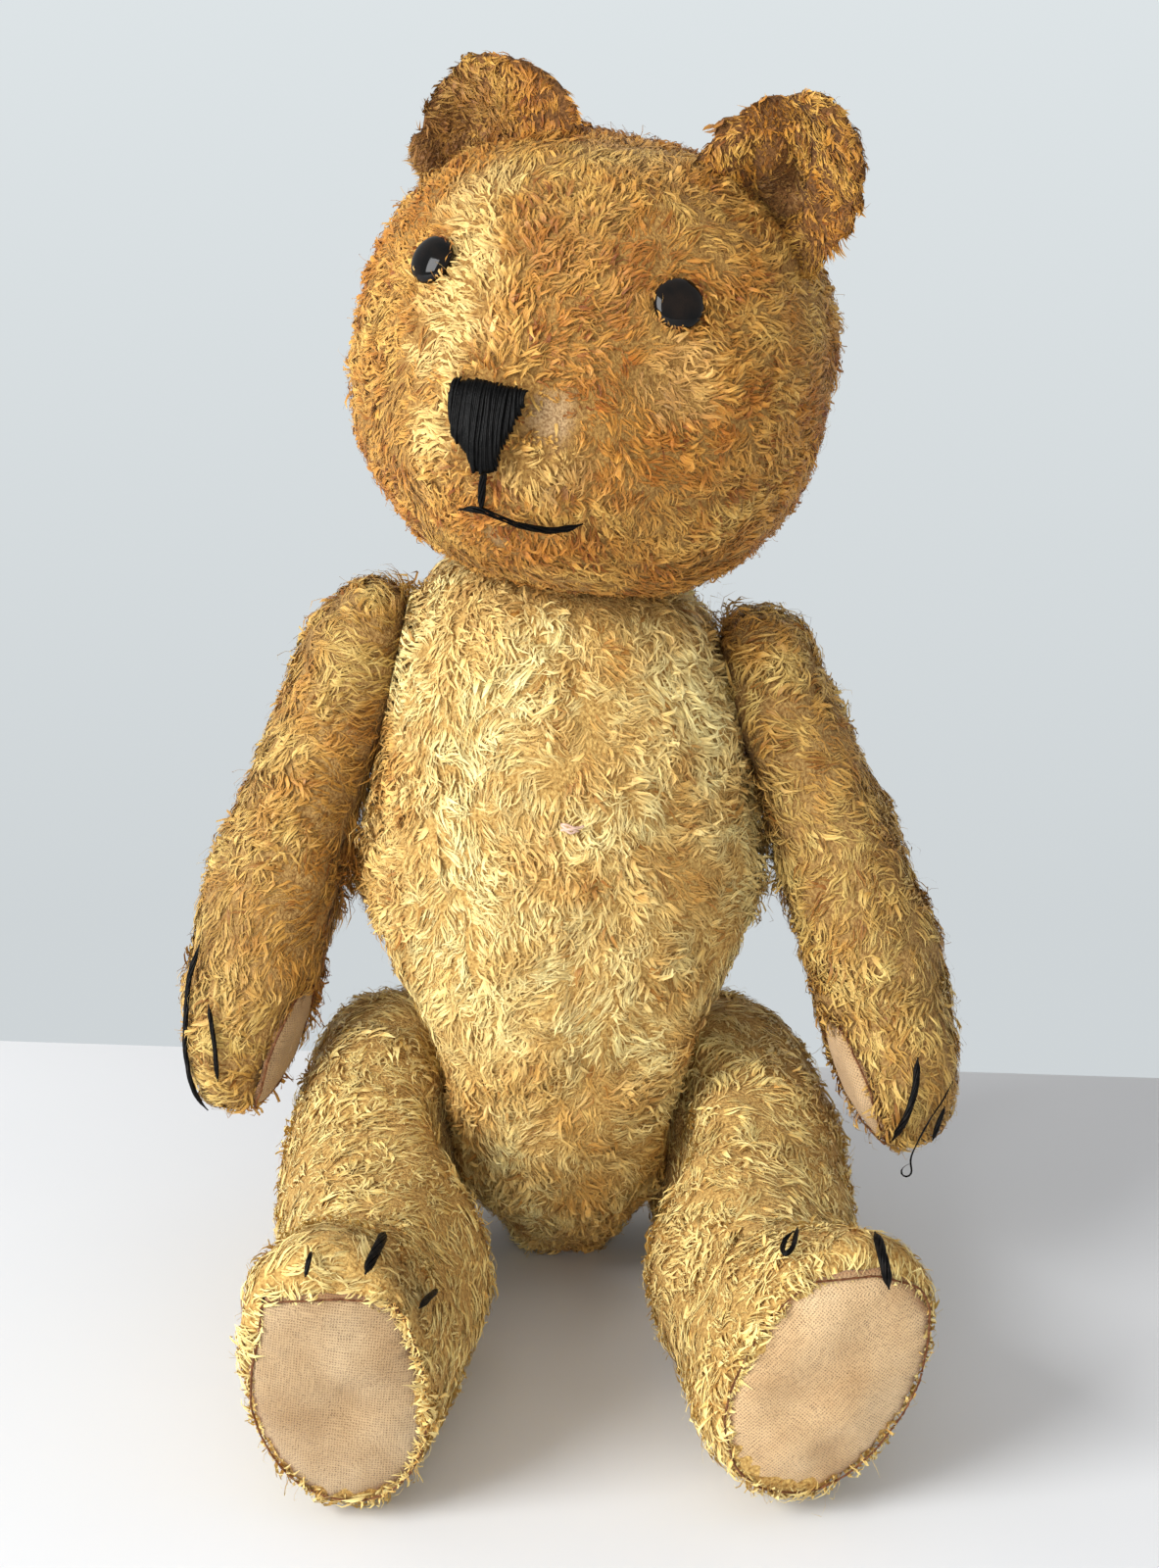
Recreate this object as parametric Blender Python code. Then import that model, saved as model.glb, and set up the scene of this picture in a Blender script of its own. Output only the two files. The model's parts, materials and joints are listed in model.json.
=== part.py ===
"""A jointed teddy bear, sitting: plush skins over wood wool, turned at five disc joints.

The bear faces -Y and sits on Z = 0, with its own left side at +X. The origin is in the
middle of its flat seat. Head, arms and legs each turn on a pair of hardboard discs
held together by a split pin, as on an old plush bear. Units are metres.
"""
import math

import bmesh
import bpy
from mathutils import Matrix, Vector

# Cloth, wadding and clearances
GAP = 0.0003                # clearance between pieces that touch
SKIN = 0.0050               # plush: woven backing and pile
PRESSED = 0.0025            # the same plush squeezed flat between two discs
BACK = GAP / 2 + PRESSED    # from a joint's plane to the back of the squeezed plush
SINGLE = 0.0020             # plain pad cloth with its turned edge
FLOOR_SKIN = 0.0030         # plush squeezed between a leg and the ground

# Joints: where each one turns, how far its axis tips, and how big its discs are
NECK_PIVOT = Vector((0.003, 0.002, 0.2440))
NECK_LEAN = math.radians(9.5)
NECK_TURN = math.radians(21.0)
SHOULDER_PIVOT = {"left": Vector((0.0565, 0.003, 0.1975)), "right": Vector((-0.0545, 0.003, 0.2070))}
SHOULDER_TIP = {"left": math.radians(14.0), "right": math.radians(12.5)}
HIP_PIVOT = {"left": Vector((0.0315, 0.002, 0.0470)), "right": Vector((-0.0340, 0.002, 0.0470))}
HIP_TIP = {"left": math.radians(6.0), "right": math.radians(4.0)}
HIP_SPLAY = {"left": math.radians(9.0), "right": math.radians(4.0)}
LEG_TWIST = {"left": math.radians(24.0), "right": math.radians(6.0)}
DISC_RADIUS = {"neck": 0.024, "shoulder": 0.0145, "hip": 0.024}
DISC_THICKNESS = 0.0030
WASHER_RADIUS = 0.0070
WASHER_THICKNESS = 0.0010
WIRE = 0.0007               # radius of the wire that a split pin is folded from
CROWN = 0.0066              # how far a pin's eye and curled legs stand off their washer
PIN_HOLE = 0.0018
SIDE = {"left": 1.0, "right": -1.0}

# Torso: height, half width, half depth and middle depth, from the seat up
TORSO = (
    (0.000, 0.0180, 0.022, 0.014),
    (0.014, 0.0270, 0.037, 0.007),
    (0.036, 0.0380, 0.050, 0.001),
    (0.066, 0.0510, 0.059, -0.003),
    (0.100, 0.0635, 0.066, -0.005),
    (0.142, 0.0680, 0.067, -0.005),
    (0.180, 0.0650, 0.062, -0.002),
    (0.210, 0.0590, 0.055, 0.000),
    (0.234, 0.0525, 0.047, 0.002),
    (0.262, 0.0340, 0.034, 0.002),
)

# Arm: way down from the joint, middle outward and backward, half thickness and half depth
ARM = (
    (-0.0310, 0.0095, 0.000, 0.0100, 0.0150),
    (-0.0200, 0.0125, 0.000, 0.0185, 0.0240),
    (0.0000, 0.0140, 0.000, 0.0208, 0.0285),
    (0.0200, 0.0165, 0.000, 0.0225, 0.0300),
    (0.0450, 0.0210, -0.001, 0.0230, 0.0305),
    (0.0850, 0.0255, -0.007, 0.0255, 0.0310),
    (0.1150, 0.0258, -0.015, 0.0242, 0.0290),
    (0.1400, 0.0255, -0.023, 0.0200, 0.0245),
    (0.1560, 0.0250, -0.029, 0.0110, 0.0150),
)
ARM_LENGTH = {"left": 0.98, "right": 0.96}
ARM_SWING = {"left": math.radians(11.0), "right": math.radians(3.0)}

# Leg: way forward from the joint, middle outward, half width, underside and top
LEG = (
    (-0.0470, 0.0140, 0.0130, -0.016, 0.018),
    (-0.0360, 0.0180, 0.0250, -0.036, 0.036),
    (0.0000, 0.0220, 0.0330, -0.047, 0.051),
    (0.0500, 0.0225, 0.0350, -0.047, 0.043),
    (0.0950, 0.0160, 0.0360, -0.046, 0.032),
    (0.1350, 0.0160, 0.0330, -0.046, 0.029),
    (0.1620, 0.0175, 0.0320, -0.046, 0.045),
    (0.1810, 0.0185, 0.0315, -0.045, 0.048),
    (0.1900, 0.0185, 0.0290, -0.041, 0.043),
)
THIGH_REACH = 0.0620        # the thigh and the torso lie flat together this far round the hip
SOLE_BULGE = 0.0040         # how far the sole's middle stands proud of its rim

# Head: half width, half depth, half height, and how high its middle is over the neck joint
HEAD_HALF = Vector((0.0780, 0.0720, 0.0750))
HEAD_RISE = 0.0680
HEAD_FORWARD = 0.0100
MUZZLE = 0.0230
MUZZLE_SPREAD = math.radians(27.0)
MUZZLE_DROP = math.radians(-12.0)

# Ears: how far round from the crown each sits, its size, hollow and forward curl
EAR_ANGLE = {"left": math.radians(36.0), "right": math.radians(33.0)}
EAR_BACK = 0.0040
EAR_WIDTH = 0.0600
EAR_HEIGHT = {"left": 0.0480, "right": 0.0260}
EAR_CUP = {"left": 0.0120, "right": 0.0140}
EAR_CURL = {"left": math.radians(65.0), "right": math.radians(25.0)}
EAR_THICKNESS = 0.0060
EAR_ROOT = 0.0100           # how far the ear's base runs down before the head trims it

# Eyes: glass domes in sockets of the pile
EYE_RADIUS = 0.0070
EYE_FRONT = 0.0050
EYE_BACK = 0.0026
EYE_SINK = 0.0014
EYE_TURN = {"left": math.radians(37.0), "right": math.radians(31.0)}
EYE_RISE = {"left": math.radians(27.5), "right": math.radians(25.0)}

# Nose and mouth: points across and up from the nose's middle, on the muzzle
NOSE_RISE = math.radians(-3.0)
NOSE_REACH = 0.0950
NOSE_DEPTH = 0.0020
NOSE = ((-0.0125, 0.0135), (0.0, 0.0145), (0.0125, 0.0135), (0.0110, 0.0010), (0.0045, -0.0135),
        (-0.0045, -0.0135), (-0.0110, 0.0010))
LIP_DROP = ((0.0, -0.0145), (0.0, -0.0190), (0.0, -0.0235))
MOUTH = ((-0.0090, -0.0235), (-0.0045, -0.0250), (0.0, -0.0257), (0.0110, -0.0290), (0.0220, -0.0305),
         (0.0330, -0.0280))
THREAD = 0.0015             # width of the thick black embroidery thread

# Pads: the paw's lies over its inner front, the sole's fills the foot's open end
PAW_PAD_WAY = 0.1290
PAW_PAD_TURN = math.radians(-150.0)
PAW_PAD_LONG = 0.0215
PAW_PAD_WIDE = 0.0130
PAD_OUTER = 0.0022          # the pad cloth lies this far below the tips of the pile
SOLE_EDGE = 0.0035
SOLE_STEP = 0.0030

# Claw stitches: first and last place of each, along the limb and round it in degrees
PAW_CLAWS = {
    "left": (((0.125, -80.0), (0.152, -102.0)), ((0.139, -46.0), (0.151, -58.0))),
    "right": (((0.122, -26.0), (0.153, -50.0)), ((0.108, -62.0), (0.134, -70.0))),
}
FOOT_CLAWS = {
    "left": (((0.180, 100.0), (0.190, 97.0)), ((0.177, 134.0), (0.187, 138.0))),
    "right": (((0.181, 118.0), (0.190, 112.0)), ((0.182, 158.0), (0.190, 152.0)),
              ((0.182, 82.0), (0.189, 86.0))),
}

AROUND = 20                 # facets round a limb
PLUSH = (0.62, 0.40, 0.17)


# ---------------------------------------------------------------- materials

def material(name, colour, roughness, metallic=0.0):
    """A Principled material, made once for each name."""
    made = bpy.data.materials.get(name)
    if made is None:
        made = bpy.data.materials.new(name)
        made.use_nodes = True
        shader = made.node_tree.nodes["Principled BSDF"]
        shader.inputs["Base Color"].default_value = (*colour, 1.0)
        shader.inputs["Roughness"].default_value = roughness
        shader.inputs["Metallic"].default_value = metallic
        made.diffuse_color = (*colour, 1.0)
    return made


def plush_material():
    return material("gold_plush", PLUSH, 0.85)


def ear_material():
    return material("worn_ear_plush", (0.45, 0.24, 0.08), 0.85)


def stuffing_material():
    return material("wood_wool", (0.70, 0.58, 0.38), 0.95)


def pad_material():
    return material("beige_pad_cloth", (0.72, 0.52, 0.36), 0.9)


def board_material():
    return material("hardboard", (0.30, 0.17, 0.08), 0.8)


def steel_material():
    return material("washer_steel", (0.55, 0.56, 0.57), 0.35, 1.0)


def thread_material():
    return material("black_thread", (0.012, 0.012, 0.014), 0.55)


def glass_material():
    return material("black_eye_glass", (0.010, 0.009, 0.009), 0.08)


# ---------------------------------------------------------------- mesh helpers

def new_object(name, mesh_builder, finish):
    """Turn a bmesh into a named object with faces out and one material."""
    bmesh.ops.recalc_face_normals(mesh_builder, faces=mesh_builder.faces)
    mesh = bpy.data.meshes.new(name)
    mesh_builder.to_mesh(mesh)
    mesh_builder.free()
    mesh.materials.append(finish)
    mesh.shade_smooth()
    mesh.set_sharp_from_angle(angle=math.radians(40.0))
    made = bpy.data.objects.new(name, mesh)
    bpy.context.scene.collection.objects.link(made)
    return made


def loft(name, rings, finish, closed=False, shrink=0.0):
    """Skin a row of equal rings; the ends are fans, or the last ring joins the first."""
    build = bmesh.new()
    rows = [[build.verts.new(point) for point in ring] for ring in rings]
    count = len(rows[0])
    pairs = list(zip(rows, rows[1:]))
    if closed:
        pairs.append((rows[-1], rows[0]))
    for low, high in pairs:
        for step in range(count):
            after = (step + 1) % count
            build.faces.new((low[step], low[after], high[after]))
            build.faces.new((low[step], high[after], high[step]))
    if not closed:
        for row in (rows[0], rows[-1]):
            middle = build.verts.new(sum((vert.co for vert in row), Vector()) / count)
            for step in range(count):
                build.faces.new((row[step], row[(step + 1) % count], middle))
    if shrink:
        bmesh.ops.recalc_face_normals(build, faces=build.faces)
        build.normal_update()
        inward = [-vert.normal * shrink * vert.calc_shell_factor() for vert in build.verts]
        for vert, step in zip(build.verts, inward):
            vert.co += step
    return new_object(name, build, finish)


def cut(target, cutter, operation="DIFFERENCE"):
    """Apply an exact Boolean to the target, and drop the cutter."""
    step = target.modifiers.new("cut", "BOOLEAN")
    step.operation = operation
    step.solver = "EXACT"
    step.object = cutter
    bpy.context.view_layer.update()
    graph = bpy.context.evaluated_depsgraph_get()
    result = bpy.data.meshes.new_from_object(target.evaluated_get(graph))
    target.modifiers.clear()
    target.data = result
    bpy.data.objects.remove(cutter)
    return target


def rod(radius, low, high, frame, sides=12):
    """A plain cutter or plug along the Z of a frame, between two heights."""
    build = bmesh.new()
    place = frame @ Matrix.Translation((0, 0, (low + high) / 2))
    bmesh.ops.create_cone(build, cap_ends=True, segments=sides, radius1=radius, radius2=radius,
                          depth=high - low, matrix=place)
    return new_object("cutter", build, stuffing_material())


def between(stations, key):
    """Smooth values at a key from a row of stations whose first column is the key."""
    last = len(stations) - 1
    place = next((step for step in range(last) if key <= stations[step + 1][0]), last - 1)
    rows = [stations[min(max(place + shift, 0), last)] for shift in (-1, 0, 1, 2)]
    share = (key - rows[1][0]) / (rows[2][0] - rows[1][0])
    share = min(max(share, 0.0), 1.0)
    values = []
    for before, low, high, after in zip(*[row[1:] for row in rows]):
        slope_low, slope_high = (high - before) / 2, (after - low) / 2
        values.append(low + share * slope_low
                      + share ** 2 * (3 * (high - low) - 2 * slope_low - slope_high)
                      + share ** 3 * (slope_low + slope_high - 2 * (high - low)))
    return values


def oval(turn, half_a, half_b, power=2.2):
    """A point of a slightly squared oval at an angle."""
    across, along = math.cos(turn), math.sin(turn)
    return (math.copysign(abs(across) ** (2 / power), across) * half_a,
            math.copysign(abs(along) ** (2 / power), along) * half_b)


# ---------------------------------------------------------------- joint frames

def axis_frame(pivot, axis, up):
    """A frame at a pivot with Z along the joint axis and Y near the up direction."""
    z_way = axis.normalized()
    x_way = up.cross(z_way).normalized()
    y_way = z_way.cross(x_way)
    turn = Matrix((x_way, y_way, z_way)).transposed()
    return Matrix.Translation(pivot) @ turn.to_4x4()


def limb_frame(pivot, outward, upward, side):
    """A limb's own frame: X out along its joint axis, Z up, Y back; the right one is mirrored."""
    x_way = outward.normalized()
    z_way = (upward - upward.dot(x_way) * x_way).normalized()
    y_way = z_way.cross(x_way) * SIDE[side]
    return Matrix.Translation(pivot) @ Matrix((x_way, y_way, z_way)).transposed().to_4x4()


def neck_axis():
    return Vector((math.sin(NECK_LEAN), 0.0, math.cos(NECK_LEAN)))


def shoulder_axis(side):
    tip = SHOULDER_TIP[side]
    return Vector((SIDE[side] * math.cos(tip), 0.0, math.sin(tip)))


def hip_axis(side):
    tip, splay = HIP_TIP[side], HIP_SPLAY[side]
    level = Vector((SIDE[side] * math.cos(splay), math.sin(splay), 0.0))
    return level * math.cos(tip) - Vector((0.0, 0.0, math.sin(tip)))


def leg_forward(side):
    splay = HIP_SPLAY[side]
    return Vector((SIDE[side] * math.sin(splay), -math.cos(splay), 0.0))


# ---------------------------------------------------------------- soft forms

def pressed(point, pivot, axis, depth, full=None):
    """Push a point back behind the plane `depth` short of a joint, fading out past `full`."""
    reach = (point - pivot).dot(axis) + depth
    if reach <= 0.0:
        return point
    share = 1.0
    if full is not None:
        away = (point - pivot - (reach - depth) * axis).length
        share = min(max(1.0 - (away - full) / (0.4 * full), 0.0), 1.0)
    return point - axis * reach * share


def torso_rings(inset, squeeze, count, levels):
    """The torso's rings, drawn in by `inset` and held `squeeze` short of each joint plane."""
    rings = []
    top = TORSO[-1][0] - inset
    for level in range(levels + 1):
        height = inset + (top - inset) * level / levels
        half_wide, half_deep, middle = between(TORSO, height)
        ring = []
        for step in range(count):
            across, along = oval(2 * math.pi * step / count, max(half_wide - inset, 0.004),
                                 max(half_deep - inset, 0.004))
            point = Vector((across, middle + along, height))
            for side in SIDE:
                point = pressed(point, SHOULDER_PIVOT[side], shoulder_axis(side), squeeze)
                point = pressed(point, HIP_PIVOT[side], hip_axis(side), squeeze, full=THIGH_REACH)
            ring.append(pressed(point, NECK_PIVOT, neck_axis(), squeeze))
        rings.append(ring)
    return rings


def arm_point(way, turn, out=0.0):
    """A point on an arm's form: `way` down it, `turn` from outward toward the back."""
    outward, back, half_x, half_y = between(ARM, way)
    across, along = oval(turn, half_x + out, half_y + out)
    return Vector((outward + across, back + along, -way))


def arm_rings(inset, squeeze, count, levels):
    """An arm's rings in its own joint frame."""
    first, last = ARM[0][0] + inset, ARM[-1][0] - inset
    rings = []
    for level in range(levels + 1):
        way = first + (last - first) * level / levels
        ring = [arm_point(way, 2 * math.pi * step / count, -inset) for step in range(count)]
        rings.append([Vector((max(point.x, squeeze), point.y, point.z)) for point in ring])
    return rings


def leg_point(side, way, turn, out=0.0):
    """A point on a leg's form: `way` forward along it, `turn` from outward toward the top."""
    outward, half_wide, low, high = between(LEG, way)
    across, along = oval(turn, half_wide + out, (high - low) / 2 + out)
    share = min(max(way / LEG[-1][0], 0.0), 1.0)
    roll = LEG_TWIST[side] * share * share * (3 - 2 * share)
    return Vector((outward + across * math.cos(roll) + along * math.sin(roll), -way,
                   (low + high) / 2 + along * math.cos(roll) - across * math.sin(roll)))


def leg_ring(side, way, inset, count):
    """One ring of a leg at a way forward of its joint, in the leg's own frame."""
    return [leg_point(side, way, 2 * math.pi * step / count, -inset) for step in range(count)]


def leg_rings(side, inset, squeeze, count, levels, last):
    """A leg's rings from behind the hip to near the sole, flat beside the hip disc."""
    first = LEG[0][0] + inset
    rings = []
    for level in range(levels + 1):
        ring = leg_ring(side, first + (last - first) * level / levels, inset, count)
        rings.append([-pressed(-point, Vector(), Vector((1, 0, 0)), squeeze, full=THIGH_REACH)
                      for point in ring])
    return rings


def sole_ring(side, way, gap=0.0):
    """The sole's own outline, `gap` inside the plush rim, at a way along the leg."""
    last = LEG[-1][0]
    shift = Vector((0, last - way, 0))
    return [point + shift for point in leg_ring(side, last, SOLE_EDGE + gap, AROUND)]


def placed(rings, frame, floor=None):
    """Rings carried into the bear's frame, and kept above a floor height."""
    moved = [[frame @ point for point in ring] for ring in rings]
    if floor is not None:
        moved = [[Vector((point.x, point.y, max(point.z, floor))) for point in ring] for ring in moved]
    return moved


def head_point(turn, rise, out=0.0):
    """A point on the head, in its own frame: `turn` from the face to its left, `rise` up."""
    level = math.cos(rise)
    way = Vector((level * math.sin(turn), -level * math.cos(turn), math.sin(rise)))
    shape = 2.3
    size = sum(abs(way[axis] / HEAD_HALF[axis]) ** shape for axis in range(3)) ** (-1 / shape)
    snout = Vector((0.0, -math.cos(MUZZLE_DROP), math.sin(MUZZLE_DROP)))
    off = way.angle(snout) / MUZZLE_SPREAD
    size += MUZZLE * math.exp(-off * off)
    return way * (size + out) + Vector((0.0, -HEAD_FORWARD, HEAD_RISE))


def head_rings(inset, squeeze, count, levels):
    """The head's rings round its upright axis, flat over the neck disc."""
    rings = []
    for level in range(levels + 1):
        rise = math.radians(-84.0 + 168.0 * level / levels)
        ring = [head_point(2 * math.pi * step / count, rise, -inset) for step in range(count)]
        rings.append([Vector((point.x, point.y, max(point.z, squeeze))) for point in ring])
    return rings


# ---------------------------------------------------------------- surface pieces

def patch(name, place, outline, back, front, finish, grow=1.0):
    """A closed plate over a form: its outline is filled by shrinking rings, back then front."""
    middle = [sum(values) / len(outline) for values in zip(*outline)]
    rings = []
    for out, sizes in ((back, (0.45, 1.0)), (front, (1.0, 0.45))):
        for size in sizes:
            spots = [[mid + (value - mid) * size * grow for mid, value in zip(middle, spot)]
                     for spot in outline]
            rings.append([place(*spot, out) for spot in spots])
    return loft(name, rings, finish)


def swept(name, path, radius, finish, side_way=None, sides=6):
    """A round thread or wire along a path; `side_way` is a fixed cross direction, if any."""
    rings = []
    for step, point in enumerate(path):
        ahead = (path[min(step + 1, len(path) - 1)] - path[max(step - 1, 0)]).normalized()
        across = side_way or ahead.orthogonal().normalized()
        across = (across - across.dot(ahead) * ahead).normalized()
        upward = ahead.cross(across)
        rings.append([point + radius * (math.cos(turn) * across + math.sin(turn) * upward)
                      for turn in (2 * math.pi * side / sides for side in range(sides))])
    return loft(name, rings, finish)


def finer(outline):
    """The same closed outline with a point added halfway along each side."""
    result = []
    for spot, after in zip(outline, outline[1:] + outline[:1]):
        result += [spot, tuple((value + other) / 2 for value, other in zip(spot, after))]
    return result


def thread_along(name, place, frame, first, last, width=THREAD, points=5):
    """A thick stitch laid on a limb between two places, each a way and an angle in degrees."""
    path = []
    for step in range(points):
        share = step / (points - 1)
        way, turn = (start + (end - start) * share for start, end in zip(first, last))
        path.append(frame @ place(way, math.radians(turn), GAP + width / 2))
    return swept(name, path, width / 2, thread_material())


# ---------------------------------------------------------------- joint hardware

def stack_heights():
    """Heights off the joint plane: the plush's back, the disc and the washer, low and high."""
    disc = BACK + GAP + DISC_THICKNESS
    washer = disc + GAP + WASHER_THICKNESS
    return BACK, (BACK + GAP, disc), (disc + GAP, washer)


def ring_plate(name, frame, outer, low, high, finish, sides):
    """A flat round plate with the pin's hole through it."""
    rings = []
    for radius, height in ((PIN_HOLE, low), (outer, low), (outer, high), (PIN_HOLE, high)):
        turns = [2 * math.pi * step / sides for step in range(sides)]
        rings.append([frame @ Vector((radius * math.cos(turn), radius * math.sin(turn), height))
                      for turn in turns])
    return loft(name, rings, finish, closed=True)


def split_pin(name, frame):
    """One wire folded at an eye: two shanks side by side, each curled back behind its washer."""
    washer = stack_heights()[2][1]
    shank, bend, eye = WIRE + 0.00005, 0.0023, 0.0024
    start = math.asin(shank / eye)
    curl_middle, eye_middle = -washer - 0.0012, washer + 0.0031
    curl = [(shank + bend * (1 + math.cos(turn)), curl_middle - bend * math.sin(turn))
            for turn in (math.pi * step / 5 for step in range(6))]
    sweep = 2 * math.pi - 2 * start
    loop = [(eye * math.sin(start + sweep * step / 9), eye_middle - eye * math.cos(start + sweep * step / 9))
            for step in range(10)]
    route = curl + loop + [(-across, height) for across, height in reversed(curl)]
    path = [frame @ Vector((across, 0.0, height)) for across, height in route]
    return swept(name, path, WIRE, steel_material(), side_way=frame.to_3x3() @ Vector((0, 1, 0)), sides=5)


def joint_stack(label, frame, radius):
    """Discs and washers on both sides of a joint, and the pin through them."""
    _, disc, washer = stack_heights()
    made = {}
    for place, sign in (("body", -1.0), ("limb", 1.0)):
        made[place] = [
            ring_plate(f"{label}_{place}_disc", frame, radius, sign * disc[0], sign * disc[1],
                       board_material(), 16),
            ring_plate(f"{label}_{place}_washer", frame, WASHER_RADIUS, sign * washer[0],
                       sign * washer[1], steel_material(), 12),
        ]
    made["limb"].append(split_pin(f"{label}_pin", frame))
    return made


def pocket(stuffing, frame, radius, sign):
    """Room in the wood wool for one side of a joint stack."""
    skin, disc, washer = stack_heights()
    for size, depth in ((radius + GAP, disc[1] + GAP), (WASHER_RADIUS + GAP, washer[1] + CROWN)):
        low, high = sorted((sign * (skin - 0.002), sign * depth))
        cut(stuffing, rod(size, low, high, frame, sides=16))


def seat(skin, frame, radius, sign):
    """The flat that a disc squeezes into the plush, and the pin's hole through it."""
    face = stack_heights()[0]
    for size, start, end in ((radius + GAP, face + GAP / 2, face + SKIN), (PIN_HOLE, -0.001, face + 0.001)):
        low, high = sorted((sign * start, sign * end))
        cut(skin, rod(size, low, high, frame, sides=16))


# ---------------------------------------------------------------- bodies

def shell(name, outer, void):
    """A plush skin: an outer form with an inner form cut from it."""
    return cut(loft(name, outer, plush_material()), loft("cutter", void, plush_material()))


def make_torso(frames):
    """Torso skin and stuffing, open for the five pins."""
    void = torso_rings(SKIN, BACK, 16, 14)
    skin = shell("torso_skin", torso_rings(0.0, GAP / 2, 28, 16), void)
    stuffing = loft("torso_stuffing", void, stuffing_material(), shrink=GAP)
    for label, frame in frames.items():
        radius = DISC_RADIUS[label.split("_")[-1]]
        seat(skin, frame, radius, -1.0)
        pocket(stuffing, frame, radius, -1.0)
    return [skin, stuffing]


def make_arm(side, frame, stack_frame):
    """One arm: skin with its paw opening, stuffing, pad and claw stitches."""
    void = placed(arm_rings(SKIN, BACK, 12, 9), frame)
    skin = shell(f"{side}_arm_skin", placed(arm_rings(0.0, GAP / 2, AROUND, 16), frame), void)
    stuffing = loft(f"{side}_arm_stuffing", void, stuffing_material(), shrink=GAP)
    seat(skin, stack_frame, DISC_RADIUS["shoulder"], 1.0)
    pocket(stuffing, stack_frame, DISC_RADIUS["shoulder"], 1.0)

    def place(way, turn, out):
        return frame @ arm_point(way, turn, out)

    outline = []
    for step in range(14):
        spot = 2 * math.pi * step / 14
        outline.append((PAW_PAD_WAY + PAW_PAD_LONG * math.cos(spot),
                        PAW_PAD_TURN + PAW_PAD_WIDE * math.sin(spot) / ARM[5][4]))
    cut(skin, patch("cutter", place, outline, -0.0085, 0.004, plush_material(), grow=1.05))
    pad = patch(f"{side}_paw_pad", place, outline, -PAD_OUTER - SINGLE, -PAD_OUTER, pad_material())
    claws = [thread_along(f"{side}_paw_claw_{number}", arm_point, frame, *spots)
             for number, spots in enumerate(PAW_CLAWS[side], 1)]
    return [skin, stuffing, pad, *claws]


def make_leg(side, frame, stack_frame):
    """One leg: skin open at the sole, stuffing, sole pad and claw stitches."""
    last = LEG[-1][0]
    front = last - SOLE_STEP
    behind = front - SINGLE
    outer = placed(leg_rings(side, 0.0, GAP / 2, AROUND, 16, last), frame, 0.0)
    void = leg_rings(side, SKIN, BACK, AROUND, 8, behind - SKIN / 2) + [sole_ring(side, behind)]
    void = placed(void, frame, FLOOR_SKIN)
    mouth = placed([sole_ring(side, last + SOLE_STEP)], frame, FLOOR_SKIN)
    skin = shell(f"{side}_leg_skin", outer, void + mouth)
    stuffing = loft(f"{side}_leg_stuffing", void, stuffing_material(), shrink=GAP)
    seat(skin, stack_frame, DISC_RADIUS["hip"], 1.0)
    pocket(stuffing, stack_frame, DISC_RADIUS["hip"], 1.0)
    edge = sole_ring(side, front, GAP)
    middle = sum(edge, Vector()) / AROUND
    rise = Vector((0, -SOLE_BULGE, 0))
    dome = [[middle + (point - middle) * size + rise * (1 - size ** 2) for point in edge]
            for size in (0.8, 0.45)]
    pad = loft(f"{side}_sole_pad", placed([sole_ring(side, behind, GAP), edge, *dome], frame,
                                          FLOOR_SKIN + GAP), pad_material())

    def place(way, turn, out):
        return leg_point(side, way, turn, out)

    claws = [thread_along(f"{side}_foot_claw_{number}", place, frame, *spots)
             for number, spots in enumerate(FOOT_CLAWS[side], 1)]
    return [skin, stuffing, pad, *claws]


def head_frame():
    """The head's own frame: Z up the neck axis, -Y toward the face."""
    upright = Matrix.Rotation(NECK_LEAN, 4, "Y")
    return Matrix.Translation(NECK_PIVOT) @ upright @ Matrix.Rotation(-NECK_TURN, 4, "Z")


def make_ear(side, frame):
    """A cupped ear, sewn along an arc of the crown and curled forward at its tip."""
    angle, sign = EAR_ANGLE[side], SIDE[side]
    root = head_point(sign * math.pi / 2, math.pi / 2 - angle) + Vector((0, EAR_BACK, 0))
    outward = Vector((sign * math.sin(angle), 0.0, math.cos(angle)))
    across = Vector((sign * math.cos(angle), 0.0, -math.sin(angle)))
    forward = Vector((0.0, -1.0, 0.0))
    levels, rings, middle, bend = 9, [], root - outward * EAR_ROOT, 0.0
    length = EAR_HEIGHT[side] + EAR_ROOT
    for level in range(levels + 1):
        share = level / levels
        bend = EAR_CURL[side] * max(share - 0.3, 0.0) / 0.7
        growing = outward * math.cos(bend) + forward * math.sin(bend)
        facing = forward * math.cos(bend) - outward * math.sin(bend)
        if level:
            middle = middle + growing * length / levels
        half = EAR_WIDTH / 2 * max(1 - share ** 2.6, 0.02) ** 0.5
        ring = []
        for step in range(16):
            wide, thick = oval(2 * math.pi * step / 16, half, EAR_THICKNESS / 2)
            hollow = EAR_CUP[side] * (wide / (EAR_WIDTH / 2)) ** 2
            ring.append(frame @ (middle + across * wide + facing * (thick + hollow)))
        rings.append(ring)
    ear = loft(f"{side}_ear", rings, ear_material())
    grown = [[frame @ head_point(2 * math.pi * step / 40, math.radians(-84.0 + 7.0 * level), 2 * GAP)
              for step in range(40)] for level in range(25)]
    return cut(ear, loft("cutter", grown, ear_material()))


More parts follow.
